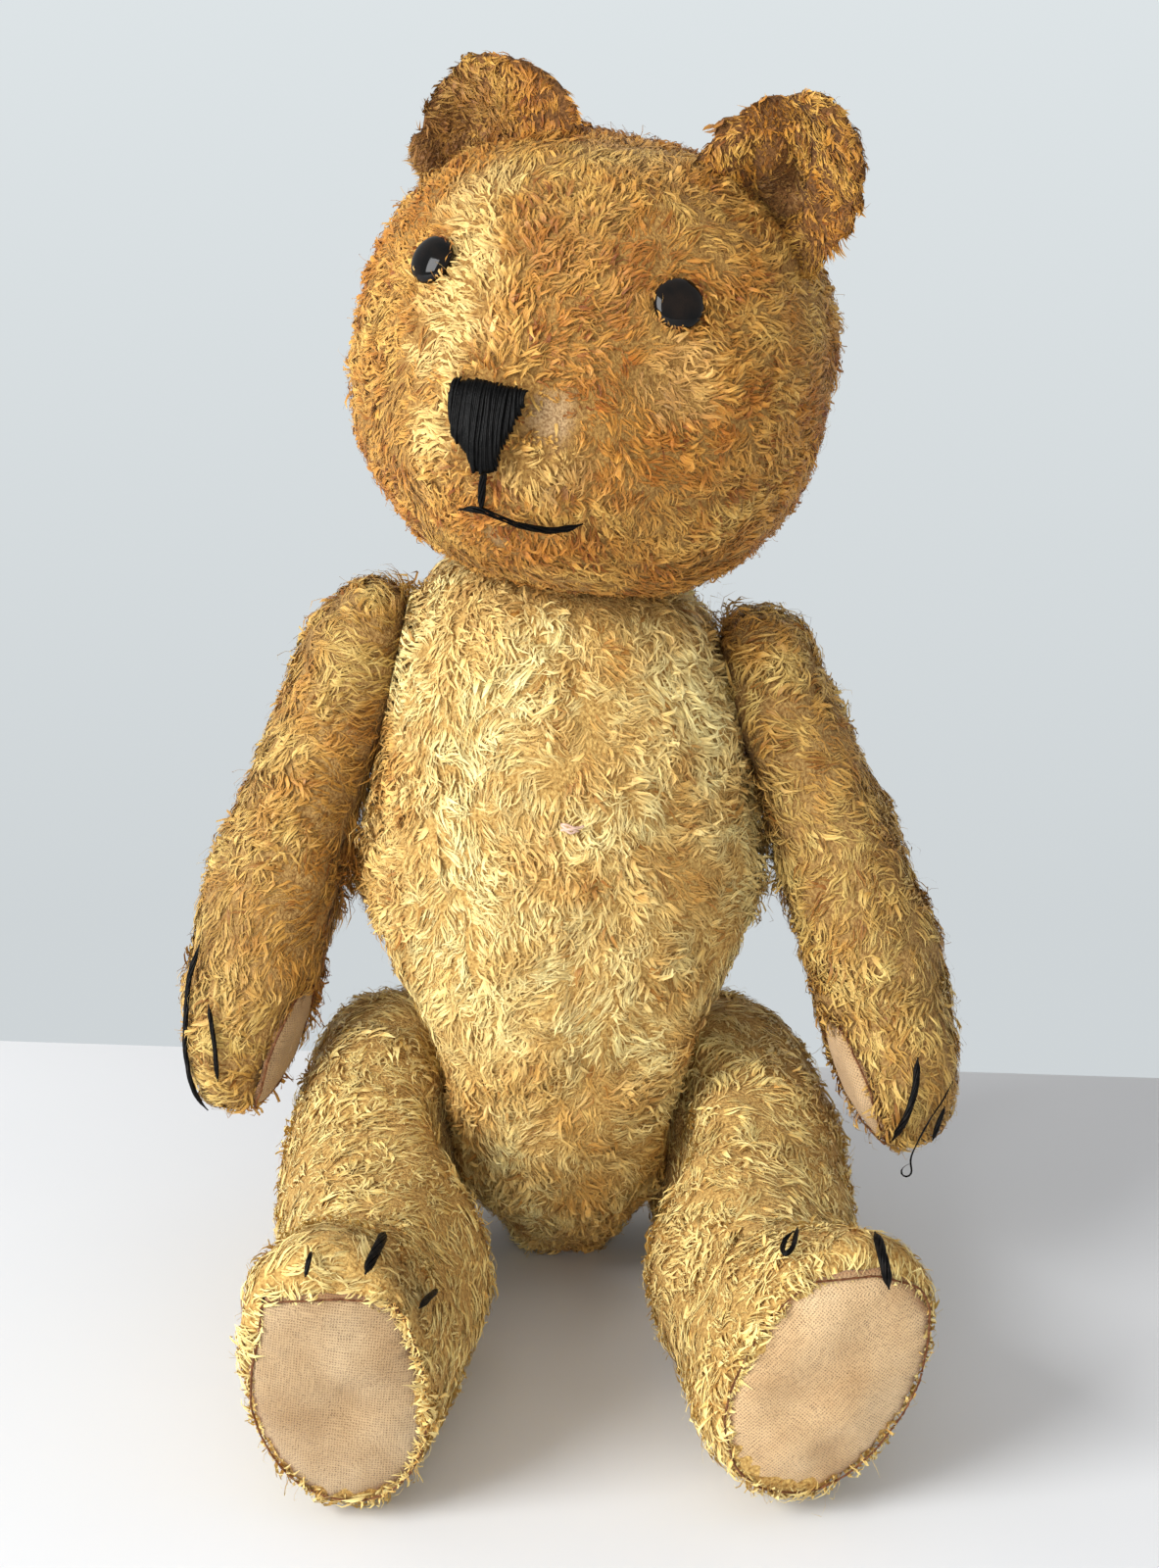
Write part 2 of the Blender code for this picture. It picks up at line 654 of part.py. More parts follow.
def eye_solid(name, side, frame, grow):
    """A glass eye: a round dome with a shallow back, facing out of the head."""
    turn, rise = SIDE[side] * EYE_TURN[side], EYE_RISE[side]
    spot = head_point(turn, rise)
    step = math.radians(1.0)
    along = head_point(turn + step, rise) - head_point(turn - step, rise)
    upward = head_point(turn, rise + step) - head_point(turn, rise - step)
    facing = along.cross(upward).normalized()
    place = frame @ axis_frame(spot - facing * EYE_SINK, facing, Vector((0, 0, 1)))
    build = bmesh.new()
    bmesh.ops.create_uvsphere(build, u_segments=12, v_segments=8, radius=1.0)
    for vert in build.verts:
        deep = EYE_FRONT if vert.co.z > 0 else EYE_BACK
        size = EYE_RADIUS + grow
        vert.co = place @ Vector((vert.co.x * size, vert.co.y * size, vert.co.z * (deep + grow)))
    return new_object(name, build, glass_material())


def make_head(frame, stack_frame):
    """The head: skin with eye sockets, stuffing, ears, eyes, nose and mouth."""
    void = placed(head_rings(SKIN, BACK, 16, 12), frame)
    skin = shell("head_skin", placed(head_rings(0.0, GAP / 2, 28, 18), frame), void)
    stuffing = loft("head_stuffing", void, stuffing_material(), shrink=GAP)
    seat(skin, stack_frame, DISC_RADIUS["neck"], 1.0)
    pocket(stuffing, stack_frame, DISC_RADIUS["neck"], 1.0)
    pieces = [skin, stuffing]
    for side in SIDE:
        cut(skin, eye_solid("cutter", side, frame, GAP))
        pieces.append(eye_solid(f"{side}_eye", side, frame, 0.0))
        pieces.append(make_ear(side, frame))

    def place(across, upward, out):
        return frame @ head_point(across / NOSE_REACH, NOSE_RISE + upward / NOSE_REACH, out)

    pieces.append(patch("nose_stitching", place, finer(list(NOSE)), 2 * GAP, NOSE_DEPTH, thread_material()))
    for name, route in (("mouth_stitch", MOUTH), ("lip_stitch", LIP_DROP)):
        path = [place(*spot, GAP + THREAD / 2) for spot in route]
        pieces.append(swept(name, path, THREAD / 2, thread_material()))
    return pieces


# ---------------------------------------------------------------- assembly

def gather(name, place, pieces):
    """Hang a body's pieces on an empty that sits at its joint."""
    holder = bpy.data.objects.new(name, None)
    holder.empty_display_size = 0.02
    holder.matrix_world = place
    bpy.context.scene.collection.objects.link(holder)
    bpy.context.view_layer.update()
    for piece in pieces:
        piece.parent = holder
        piece.matrix_parent_inverse = holder.matrix_world.inverted()


def main():
    for old in list(bpy.data.objects):
        bpy.data.objects.remove(old)
    frames = {"neck": axis_frame(NECK_PIVOT, neck_axis(), Vector((0, 1, 0)))}
    for side in SIDE:
        frames[f"{side}_shoulder"] = axis_frame(SHOULDER_PIVOT[side], shoulder_axis(side), Vector((0, 0, 1)))
        frames[f"{side}_hip"] = axis_frame(HIP_PIVOT[side], hip_axis(side), Vector((0, 0, 1)))
    stacks = {label: joint_stack(label, frame, DISC_RADIUS[label.split("_")[-1]])
              for label, frame in frames.items()}
    torso = make_torso(frames)
    for stack in stacks.values():
        torso.extend(stack["body"])
    gather("torso", Matrix(), torso)
    gather("head", frames["neck"], make_head(head_frame(), frames["neck"]) + stacks["neck"]["limb"])
    for side in SIDE:
        shoulder, hip = frames[f"{side}_shoulder"], frames[f"{side}_hip"]
        arm_frame = limb_frame(SHOULDER_PIVOT[side], shoulder_axis(side), Vector((0, 0, 1)), side)
        arm_frame = arm_frame @ Matrix.Rotation(-ARM_SWING[side], 4, "X")
        arm_frame = arm_frame @ Matrix.Diagonal((1.0, 1.0, ARM_LENGTH[side], 1.0))
        gather(f"{side}_arm", shoulder,
               make_arm(side, arm_frame, shoulder) + stacks[f"{side}_shoulder"]["limb"])
        upward = hip_axis(side).cross(leg_forward(side)) * -SIDE[side]
        hip_frame = limb_frame(HIP_PIVOT[side], hip_axis(side), upward, side)
        gather(f"{side}_leg", hip, make_leg(side, hip_frame, hip) + stacks[f"{side}_hip"]["limb"])


if __name__ == "__main__":
    main()
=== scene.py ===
"""Dresses a jointed, threadbare teddy bear: stuffed cloth bodies, matted gold pile, woven pads,
satin-stitched nose, thread claws and glossy eyes, round the fixed frame of its solids.

Units are metres, +Z is up and the bear faces -Y. Each piece is a surface worked out with numpy,
apart from the cloth of the ears, which is rebuilt from their solids. It carries its place in its
mesh, so its object stays at the origin.
"""
import json
import math

import bpy
import numpy as np
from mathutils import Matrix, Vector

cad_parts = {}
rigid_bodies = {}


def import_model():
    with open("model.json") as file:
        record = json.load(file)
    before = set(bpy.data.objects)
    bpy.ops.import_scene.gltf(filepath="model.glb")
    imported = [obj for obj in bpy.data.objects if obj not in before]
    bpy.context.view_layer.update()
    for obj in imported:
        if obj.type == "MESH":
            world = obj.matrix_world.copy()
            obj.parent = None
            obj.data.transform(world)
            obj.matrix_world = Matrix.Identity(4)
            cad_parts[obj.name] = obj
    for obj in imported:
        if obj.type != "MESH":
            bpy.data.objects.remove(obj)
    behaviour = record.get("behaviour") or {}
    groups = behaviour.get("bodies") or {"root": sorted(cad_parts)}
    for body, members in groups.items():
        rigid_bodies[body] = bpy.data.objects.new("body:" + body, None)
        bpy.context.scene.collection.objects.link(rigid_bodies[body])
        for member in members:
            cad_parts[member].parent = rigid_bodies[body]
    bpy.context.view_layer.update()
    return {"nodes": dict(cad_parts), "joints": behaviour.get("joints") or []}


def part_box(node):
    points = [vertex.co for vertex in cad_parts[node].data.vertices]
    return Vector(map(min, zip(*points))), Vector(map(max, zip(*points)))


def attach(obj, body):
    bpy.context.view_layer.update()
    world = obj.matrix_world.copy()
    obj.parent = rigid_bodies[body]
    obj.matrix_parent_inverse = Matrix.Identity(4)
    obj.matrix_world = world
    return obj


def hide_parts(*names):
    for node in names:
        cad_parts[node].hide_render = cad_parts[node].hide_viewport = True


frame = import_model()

bl_info = {
    "name": "Threadbare teddy bear",
    "version": (1, 0, 0),
    "blender": (4, 5, 0),
    "location": "View3D > Sidebar > Bear",
    "description": "Cloth, pile, pads, stitches and eyes of an old jointed bear",
    "category": "Object",
}

NODES = frame["nodes"]
SIDES = ("left", "right")
LIMBS = ("left_arm", "right_arm", "left_leg", "right_leg")
UP = np.array((0.0, 0.0, 1.0))
TURN = 2 * math.pi

BEDDED = 0.0038        # how deep the stuffed cloth lies under the tips of the pile before it swells
EAR_BEDDED = 0.0014    # and how deep the cloth of the ears lies
SWELL = 0.0018         # how far the stuffing may push the cloth out
TOUCHING = 0.0002      # cloth that a joint or the ground squeezes keeps this much clearance
ROOTED = 0.0004        # how far under the cloth's face a tuft starts
CROSSING = 0.0012      # pile may mingle with a neighbour's pile this far past the plane of a joint
THREAD_PITCH = 0.00082  # from one thread to the next in the pad cloth
STRAND = 0.00046       # the radius of a strand in a stitch


# ---------------- arrays from the frame

def gathered(items, field, kind=np.float32):
    """One field of a mesh's items, three numbers an item, as an array of rows."""
    found = np.empty(len(items) * 3, dtype=kind)
    items.foreach_get(field, found)
    return found.reshape(-1, 3)


def places(mesh):
    """A mesh's vertices as an array."""
    return gathered(mesh.vertices, "co").astype(float)


def normals(mesh):
    """A mesh's vertex normals as an array."""
    return gathered(mesh.vertex_normals, "vector").astype(float)


def triangles_of(mesh):
    """A mesh's triangles as rows of three vertex numbers."""
    mesh.calc_loop_triangles()
    return gathered(mesh.loop_triangles, "vertices", np.int32)


def corners(*nodes):
    """The triangles of some CAD nodes, as an array of triangle, corner and coordinate."""
    meshes = [NODES[node].data for node in nodes]
    return np.concatenate([places(mesh)[triangles_of(mesh)] for mesh in meshes])


def packed(values):
    """An array as one run of 32-bit numbers."""
    return np.ascontiguousarray(values, dtype=np.float32).ravel()


def mm(values):
    """Millimetres as metres."""
    return np.array(values) * 0.001


def unit(rows):
    """Each row divided by its own length."""
    return rows / np.maximum(np.linalg.norm(rows, axis=-1, keepdims=True), 1e-12)


def dot(first, second):
    """The dot product of each pair of rows."""
    return np.einsum("...k,...k->...", first, second)


def main_axes(points):
    """The longest, middle and shortest axes of a cloud of points, from its covariance."""
    _, axes = np.linalg.eigh(np.cov((points - points.mean(0)).T))
    return axes[:, 2], axes[:, 1], axes[:, 0]


def middle(node):
    """The middle of a node's box."""
    low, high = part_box(node)
    return (np.array(low) + np.array(high)) / 2


def farthest(origins, ways, triangles, batch=300, edge=1e-4):
    """How far each ray runs to the last triangle that it crosses, or -1 where it crosses none.

    Solves origin + t * way = a + u * ab + v * ac for every pair by Cramer's rule, and keeps the
    largest t above zero with u, v and 1 - u - v not below -edge.
    """
    a = triangles[:, 0]
    ab, ac = triangles[:, 1] - a, triangles[:, 2] - a
    reach = np.empty(len(ways))
    for part in np.array_split(np.arange(len(ways)), max(1, len(ways) // batch)):
        way, start = ways[part][:, None], origins[part][:, None]
        side = np.cross(way, ac[None])
        size = dot(side, ab)
        size = np.where(np.abs(size) < 1e-14, np.inf, size)
        offset = start - a[None]
        u = dot(offset, side) / size
        turned = np.cross(offset, ab[None])
        v = dot(way, turned) / size
        t = dot(ac[None], turned) / size
        crossed = (u >= -edge) & (v >= -edge) & (u + v <= 1 + edge) & (t > 0) & np.isfinite(size)
        reach[part] = np.where(crossed, t, -1.0).max(1)
    return reach


def nearest(points, targets, batch=1500):
    """The index of the nearest target to each point, from |p|^2 - 2 p.t + |t|^2."""
    points, targets = points.astype(np.float32), targets.astype(np.float32)
    squares = (targets ** 2).sum(1)
    found = np.empty(len(points), dtype=np.int64)
    for part in np.array_split(np.arange(len(points)), max(1, len(points) // batch)):
        found[part] = (squares - 2 * points[part] @ targets.T).argmin(1)
    return found


def waves(points, size, seed, count=10):
    """A smooth field near -1 to 1: a sum of cosine waves of about one length in mixed directions."""
    rng = np.random.default_rng(seed)
    ways = unit(rng.normal(size=(count, 3))) * TURN / size * rng.uniform(0.6, 1.5, (count, 1))
    shift = rng.uniform(0, TURN, count)
    return np.cos(points @ ways.T + shift).sum(1) * (2 / count) ** 0.5 * 0.7


def fade(value, low, high):
    """0 up to low, 1 from high, and a smooth step between."""
    share = np.clip((value - low) / (high - low), 0, 1)
    return share * share * (3 - 2 * share)


# ---------------- meshes

def mesh_object(name, points, *face_sets):
    """A mesh object from an array of points and arrays of faces with equal numbers of corners."""
    mesh = bpy.data.meshes.new(name)
    mesh.vertices.add(len(points))
    mesh.vertices.foreach_set("co", packed(points))
    loops = np.concatenate([faces.ravel() for faces in face_sets]).astype(np.int32)
    sizes = np.concatenate([np.full(len(faces), faces.shape[1]) for faces in face_sets])
    mesh.loops.add(len(loops))
    mesh.loops.foreach_set("vertex_index", loops)
    mesh.polygons.add(len(sizes))
    mesh.polygons.foreach_set("loop_start", np.concatenate([[0], np.cumsum(sizes)[:-1]]).astype(np.int32))
    mesh.update(calc_edges=True)
    mesh.shade_smooth()
    made = bpy.data.objects.new(name, mesh)
    bpy.context.scene.collection.objects.link(made)
    return made


def move_to(mesh, points):
    """Puts a mesh's vertices at new places."""
    mesh.vertices.foreach_set("co", packed(points))
    mesh.update()


def closed_faces(rows, columns):
    """The quads of a grid that closes on itself across its columns, and the fans to its two poles.

    The poles are the two points after those of the grid.
    """
    start, step = np.meshgrid(np.arange(rows - 1) * columns, np.arange(columns), indexing="ij")
    after = (step + 1) % columns
    quads = np.stack([start + step, start + after, start + columns + after, start + columns + step], axis=-1)
    step, after, end = step[0], after[0], (rows - 1) * columns
    first, last = (np.full(columns, rows * columns + number) for number in (0, 1))
    fans = np.concatenate([np.stack([first, after, step], -1), np.stack([last, end + step, end + after], -1)])
    return quads.reshape(-1, 4), fans


def closed_grid(name, grid, first, last):
    """A closed surface from a ring grid and its two poles, with its faces turned outward."""
    points = np.concatenate([grid.reshape(-1, 3), [first, last]])
    quads, fans = closed_faces(*grid.shape[:2])
    tri = np.concatenate([quads[:, [0, 1, 2]], quads[:, [0, 2, 3]], fans])
    a, b, c = (points[tri[:, corner]] for corner in range(3))
    if dot(a, np.cross(b, c)).sum() < 0:
        quads, fans = quads[:, ::-1], fans[:, ::-1]
    return mesh_object(name, points, quads, fans)


def store(obj, name, kind, values):
    """Keeps an array on a mesh as a point attribute of numbers, vectors or colours."""
    slot = obj.data.attributes.new(name, kind, "POINT")
    field = {"FLOAT": "value", "FLOAT_VECTOR": "vector", "FLOAT_COLOR": "color"}[kind]
    slot.data.foreach_set(field, packed(values))


def subdivide(obj):
    """Applies one smooth subdivision."""
    step = obj.modifiers.new("smooth", "SUBSURF")
    step.levels = step.render_levels = 1
    settle(obj)


def settle(obj):
    """Makes what an object's modifiers show its own mesh, and drops them."""
    graph = bpy.context.evaluated_depsgraph_get()
    made = bpy.data.meshes.new_from_object(obj.evaluated_get(graph), depsgraph=graph)
    obj.modifiers.clear()
    old, obj.data = obj.data, made
    bpy.data.meshes.remove(old)


# ---------------- materials

def feed(tree, socket, value):
    """Links a socket to another, or sets it to a number or a colour."""
    if isinstance(value, bpy.types.NodeSocket):
        tree.links.new(value, socket)
    else:
        socket.default_value = (*value, 1.0) if isinstance(value, tuple) else value


def add(tree, kind, inputs=(), **settings):
    """A shader node of a kind with its settings and inputs."""
    made = tree.nodes.new("ShaderNode" + kind)
    for key, value in settings.items():
        setattr(made, key, value)
    for key, value in dict(inputs).items():
        feed(tree, made.inputs[key], value)
    return made


def maths(tree, operation, first, second=0.5, clamp=False):
    """The result of one Math node."""
    return add(tree, "Math", {0: first, 1: second}, operation=operation, use_clamp=clamp).outputs[0]


def ramp(tree, factor, *stops):
    """A colour ramp through stops of a place and a colour, or a number for a grey."""
    made = add(tree, "ValToRGB", {"Fac": factor})
    stops_made = made.color_ramp.elements
    for number, (place, colour) in enumerate(stops):
        stop = stops_made[number] if number < 2 else stops_made.new(place)
        stop.position, stop.color = place, (*np.broadcast_to(colour, 3), 1.0)
    return made.outputs["Color"]


def mixed(tree, factor, first, second, blend="MIX"):
    """Two colours mixed by a factor."""
    made = add(tree, "Mix", data_type="RGBA", blend_type=blend)
    for number, value in ((0, factor), (6, first), (7, second)):
        feed(tree, made.inputs[number], value)
    return made.outputs[2]


def noise(tree, place, scale, detail=3.0):
    """The value of a noise field at a place."""
    return add(tree, "TexNoise", {"Vector": place, "Scale": scale, "Detail": detail}).outputs[0]


def finish(name):
    """A new material with its tree, shader and object coordinates."""
    made = bpy.data.materials.new(name)
    made.use_nodes = True
    tree = made.node_tree
    return made, tree, tree.nodes["Principled BSDF"], add(tree, "TexCoord").outputs["Object"]


def set_shader(tree, shader, **values):
    """Sets or links the shader's sockets; underscores in a name stand for spaces."""
    for key, value in values.items():
        feed(tree, shader.inputs[key.replace("_", " ")], value)


def bump(tree, height, distance):
    """The normal of a bumped surface."""
    return add(tree, "Bump", {"Height": height, "Distance": distance, "Strength": 1.0}).outputs[0]


def attribute(tree, name):
    """A node that reads one of a mesh's own attributes."""
    return add(tree, "Attribute", attribute_name=name)


def scaled(colour, *shares):
    """A colour with each channel multiplied."""
    return tuple(channel * share for channel, share in zip(colour, shares))


def pile_finish(name, light, mid, deep, grime_and_shade):
    """Matted silky pile: dark at the root, partly as painted shade deep in the pile, pale at the tip,
    streaked by its fibres.

    The attribute holds how far across and along a tuft a point is, and its tone. Its alpha says how
    soiled or darkened by painted shade a tuft is above zero, and how far painted highlight pales it below it.
    """
    made, tree, shader, spot = finish(name)
    strand = attribute(tree, "pile")
    parts = add(tree, "SeparateColor", {0: strand.outputs["Color"]})
    across, along, tone = parts.outputs[0], parts.outputs[1], parts.outputs[2]
    stretched = {number: maths(tree, "MULTIPLY", value, stretch)
                 for number, (value, stretch) in enumerate(((across, 5.0), (along, 0.8), (tone, 61.0)))}
    fibres = noise(tree, add(tree, "CombineXYZ", stretched).outputs[0], 1.0, 2.0)
    # The pile pales from root to tip: partly its own colour, partly painted shade deep in the pile
    colour = ramp(tree, along, (0.0, deep), (0.45, mid), (1.0, light))
    colour = mixed(tree, maths(tree, "MULTIPLY", tone, 0.50), colour, light)
    shade = ramp(tree, fibres, (0.30, (0.62, 0.50, 0.37)), (0.60, 1.0))
    colour = mixed(tree, 0.85, colour, shade, "MULTIPLY")
    # Tufts of low tone are darkened: painted shade for the gaps between the locks
    gap_shade = ramp(tree, tone, (0.08, (0.44, 0.27, 0.12)), (0.36, 1.0))
    colour = mixed(tree, 0.5 + 0.5 * grime_and_shade, colour, gap_shade, "MULTIPLY")
    # Clouds of darker orange over the pile: partly grime, partly painted shade and sheen of the nap
    for scale, tint in ((22.0, (0.82, 0.61, 0.38)), (70.0, (0.82, 0.63, 0.42))):
        cloud = ramp(tree, noise(tree, spot, scale, 4.0), (0.43, 1.0), (0.64, tint))
        colour = mixed(tree, grime_and_shade, colour, cloud, "MULTIPLY")
    # Below zero the alpha pales the tufts: painted highlight
    highlight_share = maths(tree, "MULTIPLY", strand.outputs["Alpha"], -1.0, True)
    pale = ramp(tree, fibres, (0.30, (0.80, 0.53, 0.17)), (0.62, (1.0, 0.79, 0.32)))
    colour = mixed(tree, highlight_share, colour, pale)
    # Soiled tufts, and tufts in painted shade, darken toward brown
    colour = mixed(tree, strand.outputs["Alpha"], colour, (0.16, 0.070, 0.022))
    set_shader(tree, shader, Base_Color=colour, Roughness=0.42, Specular_IOR_Level=0.32,
               Sheen_Weight=0.08, Sheen_Roughness=0.5, Sheen_Tint=(1.0, 0.80, 0.50),
               Normal=bump(tree, fibres, 0.00035))
    return made


def backing_finish(name, low, high):
    """The woven back of a plush with the stubs of its pile, darkened to paint the shade between the tufts,
    and bare and paler where it is worn.
    """
    made, tree, shader, spot = finish(name)
    worn = attribute(tree, "worn").outputs["Fac"]
    stubs = noise(tree, spot, 900.0, 3.0)
    weave = noise(tree, spot, 1400.0, 2.0)
    deep = ramp(tree, stubs, (0.30, low), (0.70, high))
    bare = ramp(tree, weave, (0.35, (0.26, 0.15, 0.068)), (0.60, (0.50, 0.33, 0.165)))
    set_shader(tree, shader, Base_Color=mixed(tree, worn, deep, bare), Roughness=0.85,
               Specular_IOR_Level=0.1, Sheen_Weight=0.04,
               Normal=bump(tree, maths(tree, "ADD", stubs, weave), 0.0006))
    return made


def weave_finish(name, shade):
    """Plain woven pad cloth: round threads both ways, dark where they leave a gap, and grubby.

    The attribute holds where on the flat cloth a point is, and its share of the way to the rim.
    """
    made, tree, shader, spot = finish(name)
    lie = attribute(tree, "cloth").outputs["Vector"]
    wobble = add(tree, "TexNoise", {"Vector": lie, "Scale": 90.0, "Detail": 2.0})
    drift = add(tree, "VectorMath", {0: wobble.outputs["Color"], 3: 0.0012}, operation="SCALE")
    moved = add(tree, "VectorMath", {0: lie, 1: drift.outputs[0]}, operation="ADD")
    axes = add(tree, "SeparateXYZ", {0: moved.outputs[0]})
    turns = [maths(tree, "MULTIPLY", axes.outputs[axis], math.pi / THREAD_PITCH) for axis in (0, 1)]
    ridges = [maths(tree, "ABSOLUTE", maths(tree, "SINE", turn)) for turn in turns]
    open_spot = maths(tree, "MULTIPLY", *[maths(tree, "SUBTRACT", 1.0, ridge) for ridge in ridges])
    uneven = noise(tree, lie, 520.0, 2.0)
    hole = maths(tree, "MULTIPLY", maths(tree, "POWER", open_spot, 0.8),
                 ramp(tree, uneven, (0.38, 0.0), (0.66, 1.0)))
    tones = ((0.28, (0.42, 0.26, 0.12)), (0.50, (0.56, 0.38, 0.20)), (0.75, (0.66, 0.48, 0.28)))
    colour = ramp(tree, noise(tree, spot, 45.0, 4.0),
                  *[(place, scaled(tone, shade, shade, shade)) for place, tone in tones])
    colour = mixed(tree, maths(tree, "MULTIPLY", hole, 2.2, True), colour, (0.12, 0.06, 0.026))
    outward = add(tree, "SeparateXYZ", {0: lie}).outputs[2]
    rim = add(tree, "MapRange", {"Value": outward, "From Min": 0.93, "From Max": 1.0, "To Max": 0.7})
    colour = mixed(tree, rim.outputs[0], colour, (0.26, 0.11, 0.04))
    height = maths(tree, "ADD", maths(tree, "MAXIMUM", *ridges), maths(tree, "MULTIPLY", uneven, 0.5))
    set_shader(tree, shader, Base_Color=colour, Roughness=0.82, Specular_IOR_Level=0.25,
               Sheen_Weight=0.15, Normal=bump(tree, height, 0.00022))
    return made


def thread_finish(name, dark, pale):
    """Embroidery floss: fine filaments along the thread, a little dust on it, a soft gloss."""
    made, tree, shader, spot = finish(name)
    filaments = noise(tree, spot, 1500.0, 2.0)
    colour = ramp(tree, noise(tree, spot, 600.0, 3.0), (0.45, dark), (0.85, pale))
    set_shader(tree, shader, Base_Color=colour, Roughness=0.42, Specular_IOR_Level=0.10,
               Normal=bump(tree, filaments, 0.00015))
    return made


def glass_finish():
    """Polished black eye: a trace of brown inside, a faint haze of scratches."""
    made, tree, shader, spot = finish("polished_black")
    haze = ramp(tree, noise(tree, spot, 420.0, 5.0), (0.5, 0.05), (0.8, 0.16))
    colour = ramp(tree, noise(tree, spot, 120.0), (0.4, 0.002), (0.7, (0.010, 0.006, 0.004)))
    set_shader(tree, shader, Base_Color=colour, Roughness=haze, Specular_IOR_Level=0.22)
    return made


def speckled_finish(name, low, high, scale, roughness, metallic=0.0, depth=0.0003):
    """A plain inner material: two tones of one colour in a grain, with a matching bump."""
    made, tree, shader, spot = finish(name)
    grain = noise(tree, spot, scale, 4.0)
    set_shader(tree, shader, Base_Color=ramp(tree, grain, (0.35, low), (0.65, high)),
               Roughness=roughness, Metallic=metallic, Normal=bump(tree, grain, depth))
    return made


def dress(obj, material):
    """Gives an object one material."""
    obj.data.materials.clear()
    obj.data.materials.append(material)


def hand_in(obj, material, body, slot, *nodes):
    """Gives a piece its material and body, and hides the CAD nodes whose place it takes; `slot` is not used.
    """
    dress(obj, material)
    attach(obj, body)
    if nodes:
        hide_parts(*nodes)


# ---------------- joints and contact

# how far round a joint the cloth itself lies flat over its disc, and how far the pile is pressed
FLAT_ROUND = {"neck": (0.030, 0.065), "shoulder": (0.020, 0.055), "hip": (0.030, 0.074)}
LEVEL = (0.0015, 0.0060)   # from a joint's plane to where cloth is wholly, and no longer, squeezed
FACING = (0.55, 0.85)      # how squarely cloth faces a joint where it starts to be, and is, squeezed
BORDER = 0.008             # how wide the squeezed place fades at its edge
GROUNDED = (0.001, 0.006)  # heights up to which the table squeezes cloth most, and no longer


def joint_planes():
    """Each joint's point, axis and child body, with how far round it the cloth and the pile are pressed."""
    planes = []
    for joint in frame["joints"]:
        kind = next(word for word in FLAT_ROUND if word in joint["name"])
        planes.append((np.array(joint["pos_m"]), unit(np.array(joint["axis"])), joint["child"],
                       FLAT_ROUND[kind]))
    return planes


PLANES = joint_planes()


def from_joint(points, pivot, axis):
    """How far points are along a joint's axis from its plane, and how far from the axis."""
    off = points - pivot
    height = off @ axis
    return height, np.linalg.norm(off - height[:, None] * axis, axis=1)


def touching(body, points, out):
    """How much each point lies on the flat of a joint, where its body is squeezed, from 0 to 1."""
    share = np.zeros(len(points))
    for pivot, axis, child, (reach, _) in PLANES:
        if body in (child, "torso"):
            height, round_it = from_joint(points, pivot, axis)
            near = (1 - fade(np.abs(height), *LEVEL)) * (1 - fade(round_it, reach, reach + BORDER))
            share = np.maximum(share, near * fade(np.abs(out @ axis), *FACING))
    return share


def kept_apart(body, points, clearance=TOUCHING):
    """Points that would come nearer than `clearance` to a joint's plane are put back on their own side."""
    moved = points.copy()
    for pivot, axis, child, (_, reach) in PLANES:
        if body in (child, "torso"):
            inside = middle(child + "_skin") - pivot
            way = axis * np.sign(inside @ axis) * (1 if body == child else -1)
            height, round_it = from_joint(moved, pivot, way)
            short = np.where(round_it < reach, np.maximum(clearance - height, 0), 0)
            moved += short[:, None] * way
    moved[:, 2] = np.maximum(moved[:, 2], TOUCHING)
    return moved


# ---------------- stuffed cloth

def wrapped(name, nodes, spine_inset, around, rows, caps, slices=9):
    """A closed skin round some solids.

    A middle line, a parabola fitted to the middles of slices, runs through the solids. Rays leave
    it all round, and fan out over a half sphere at each end; each point of the grid is where its
    ray last leaves the solids.
    """
    solid = corners(*nodes)
    cloud = solid.reshape(-1, 3)
    axis = main_axes(cloud)[0]
    along = (cloud - cloud.mean(0)) @ axis
    edges = np.linspace(along.min(), along.max(), slices + 1)
    parts = [cloud[(along >= low) & (along <= high)] for low, high in zip(edges, edges[1:])]
    mids = np.array([(part.min(0) + part.max(0)) / 2 for part in parts])
    stops = (edges[1:] + edges[:-1]) / 2
    fits = [np.polyfit(stops, mids[:, coordinate], 2) for coordinate in range(3)]
    line_at = np.linspace(along.min() + spine_inset, along.max() - spine_inset, rows)
    line = np.stack([np.polyval(fit, line_at) for fit in fits], axis=-1)
    bend = np.linspace(0, math.pi / 2, caps + 1)[1:-1]
    origins = np.concatenate([np.repeat(line[:1], caps - 1, 0), line, np.repeat(line[-1:], caps - 1, 0)])
    tilt = np.concatenate([-bend[::-1], np.zeros(rows), bend])
    first = unit(np.cross(axis, UP if abs(axis[2]) < 0.8 else np.array((0.0, 1.0, 0.0))))
    second = np.cross(axis, first)
    turn = np.linspace(0, TURN, around, endpoint=False)
    flat = np.cos(turn)[:, None] * first + np.sin(turn)[:, None] * second
    ways = np.cos(tilt)[:, None, None] * flat + np.sin(tilt)[:, None, None] * axis
    starts = np.repeat(origins[:, None], around, 1)
    reach = farthest(starts.reshape(-1, 3), ways.reshape(-1, 3), solid).reshape(len(tilt), around)
    reach = np.where(reach < 0, np.median(reach), reach)
    poles = [origin + way * farthest(origin[None], way[None], solid)[0]
             for origin, way in ((line[0], -axis), (line[-1], axis))]
    return closed_grid(name, starts + ways * reach[..., None], *poles)


